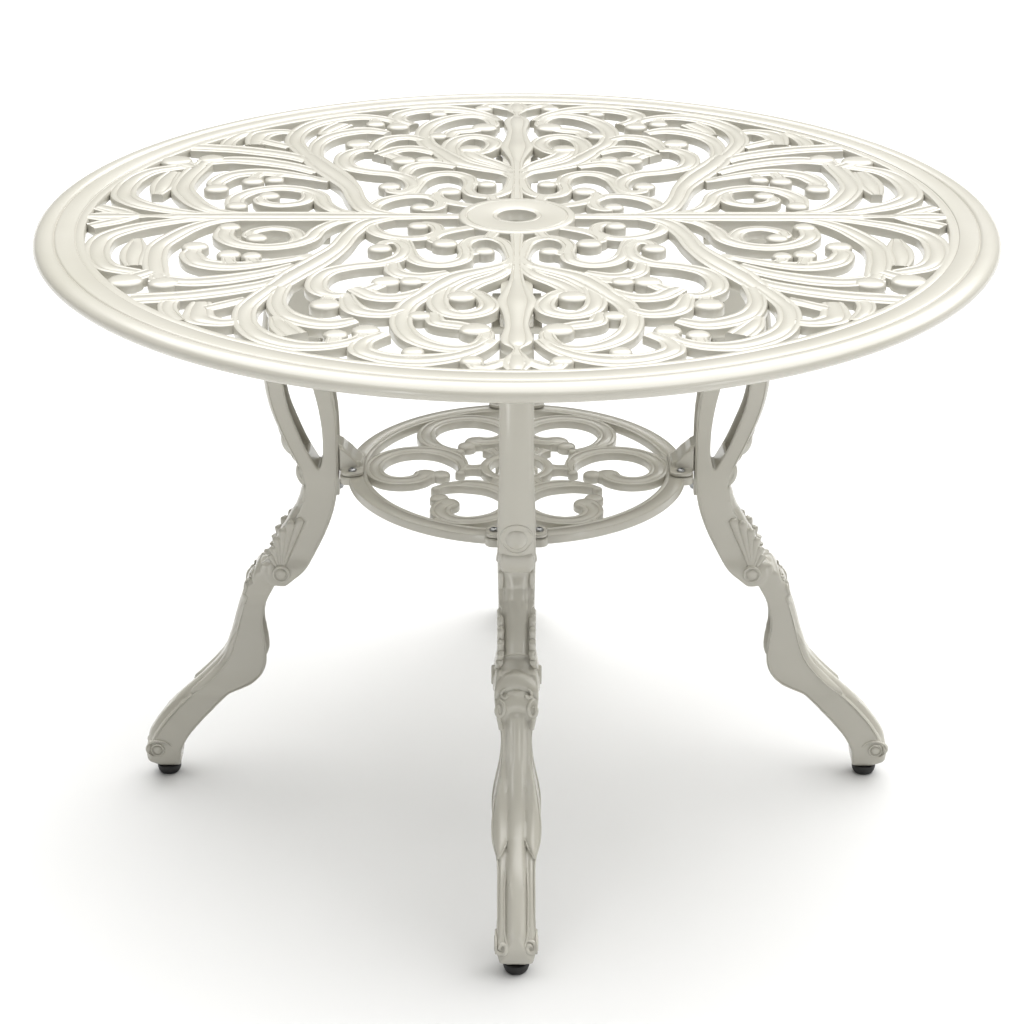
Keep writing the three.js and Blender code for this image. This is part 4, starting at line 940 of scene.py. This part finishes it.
def round_headed(name, face, axis, head_radius, head_height, shank_radius, shank_length):
    """Bolt or screw whose head stands on its face along the axis, with the shank behind it."""
    h, r = head_height, head_radius
    profile = [(0, h), (0.4 * r, 0.97 * h), (0.7 * r, 0.8 * h), (0.9 * r, 0.52 * h), (0.99 * r, 0.2 * h),
               (r, 0.05 * h), (r, 0), (shank_radius, 0), (shank_radius, -shank_length + 0.6),
               (shank_radius - 0.6, -shank_length), (0, -shank_length)]
    piece = turned_piece(name, profile, 30, axis=axis, centre=face, closed=False)
    hex_recess(piece, Vector(face) + Vector(axis) * h, axis, 0.75 * r, 0.5 * h)
    smooth_faces(piece, 35)
    return piece


for turn, side in enumerate(SIDES):
    for node, face, axis, size in ((f"bracket_bolt_{side}", (206.7, 0, 385.9), (-1, 0, 0), BOLT_SIZE),
                                   (f"shelf_screw_{side}_a", (190.5, 25, 413.6), (0, 0, 1), SCREW_SIZE),
                                   (f"shelf_screw_{side}_b", (190.5, -25, 413.6), (0, 0, 1), SCREW_SIZE)):
        fastener = round_headed(node.replace("_", "-"), face, axis, *size)
        quarter_turns(fastener, turn - 1)
        finish_piece(fastener, zinc_steel, "steel", node)
    for end in ("inner", "outer"):
        hexagon_bolt = bpy.data.objects[f"leg_bolt_{side}_{end}"]
        hexagon_bolt.data.materials.clear()
        hexagon_bolt.data.materials.append(zinc_steel)


# --------------------------------------------------
# Studio
# A plain pale paper floor under a wide soft ceiling light, with two thin strips that
# draw the gloss on the legs, seen at the photograph's viewing angle.
# --------------------------------------------------
floor = primitive(bpy.ops.mesh.primitive_plane_add, size=80.0)
floor.name = "studio-floor"
floor_finish = bpy.data.materials.new("pale studio paper")
floor_finish.use_nodes = True
paper = floor_finish.node_tree.nodes["Principled BSDF"]
paper.inputs["Base Color"].default_value = paint_colour("#D5D5D4")
paper.inputs["Roughness"].default_value = 0.95
floor.data.materials.append(floor_finish)

bpy.context.scene.view_settings.view_transform = "Standard"
world = bpy.data.worlds.new("studio air")
bpy.context.scene.world = world
world.use_nodes = True
world.node_tree.nodes["Background"].inputs["Color"].default_value = paint_colour("#FFFFFF")
world.node_tree.nodes["Background"].inputs["Strength"].default_value = 0.12


def soft_box(name, place, aim, size, power):
    light = bpy.data.lights.new(name, "AREA")
    light.shape = "RECTANGLE"
    light.size, light.size_y = size
    light.energy = power
    lamp = in_scene(name, light)
    lamp.location = place
    lamp.rotation_euler = (Vector(aim) - Vector(place)).to_track_quat("-Z", "Y").to_euler()


sky = bpy.data.lights.new("ceiling", "SUN")
sky.energy = 6.5
sky.angle = math.radians(95)
sky_lamp = in_scene("ceiling", sky)
sky_lamp.rotation_euler = (math.radians(-15), math.radians(10), 0)
soft_box("strip left", (-1.0, -2.4, 0.55), (0, -0.3, 0.35), (0.035, 1.0), 5)
soft_box("strip right", (1.7, -2.0, 0.5), (0, -0.3, 0.35), (0.035, 0.9), 4)

# 2.7 m off and 1.57 m up, as the rim's ellipse in the photograph gives
camera_data = bpy.data.cameras.new("camera")
camera_data.sensor_width = 36.0
camera_data.lens = 88.9
camera = in_scene("camera", camera_data)
camera.location = (0, -2.7185, 1.571)
camera.rotation_euler = (math.radians(65.8), 0, math.radians(0.114))
bpy.context.scene.camera = camera
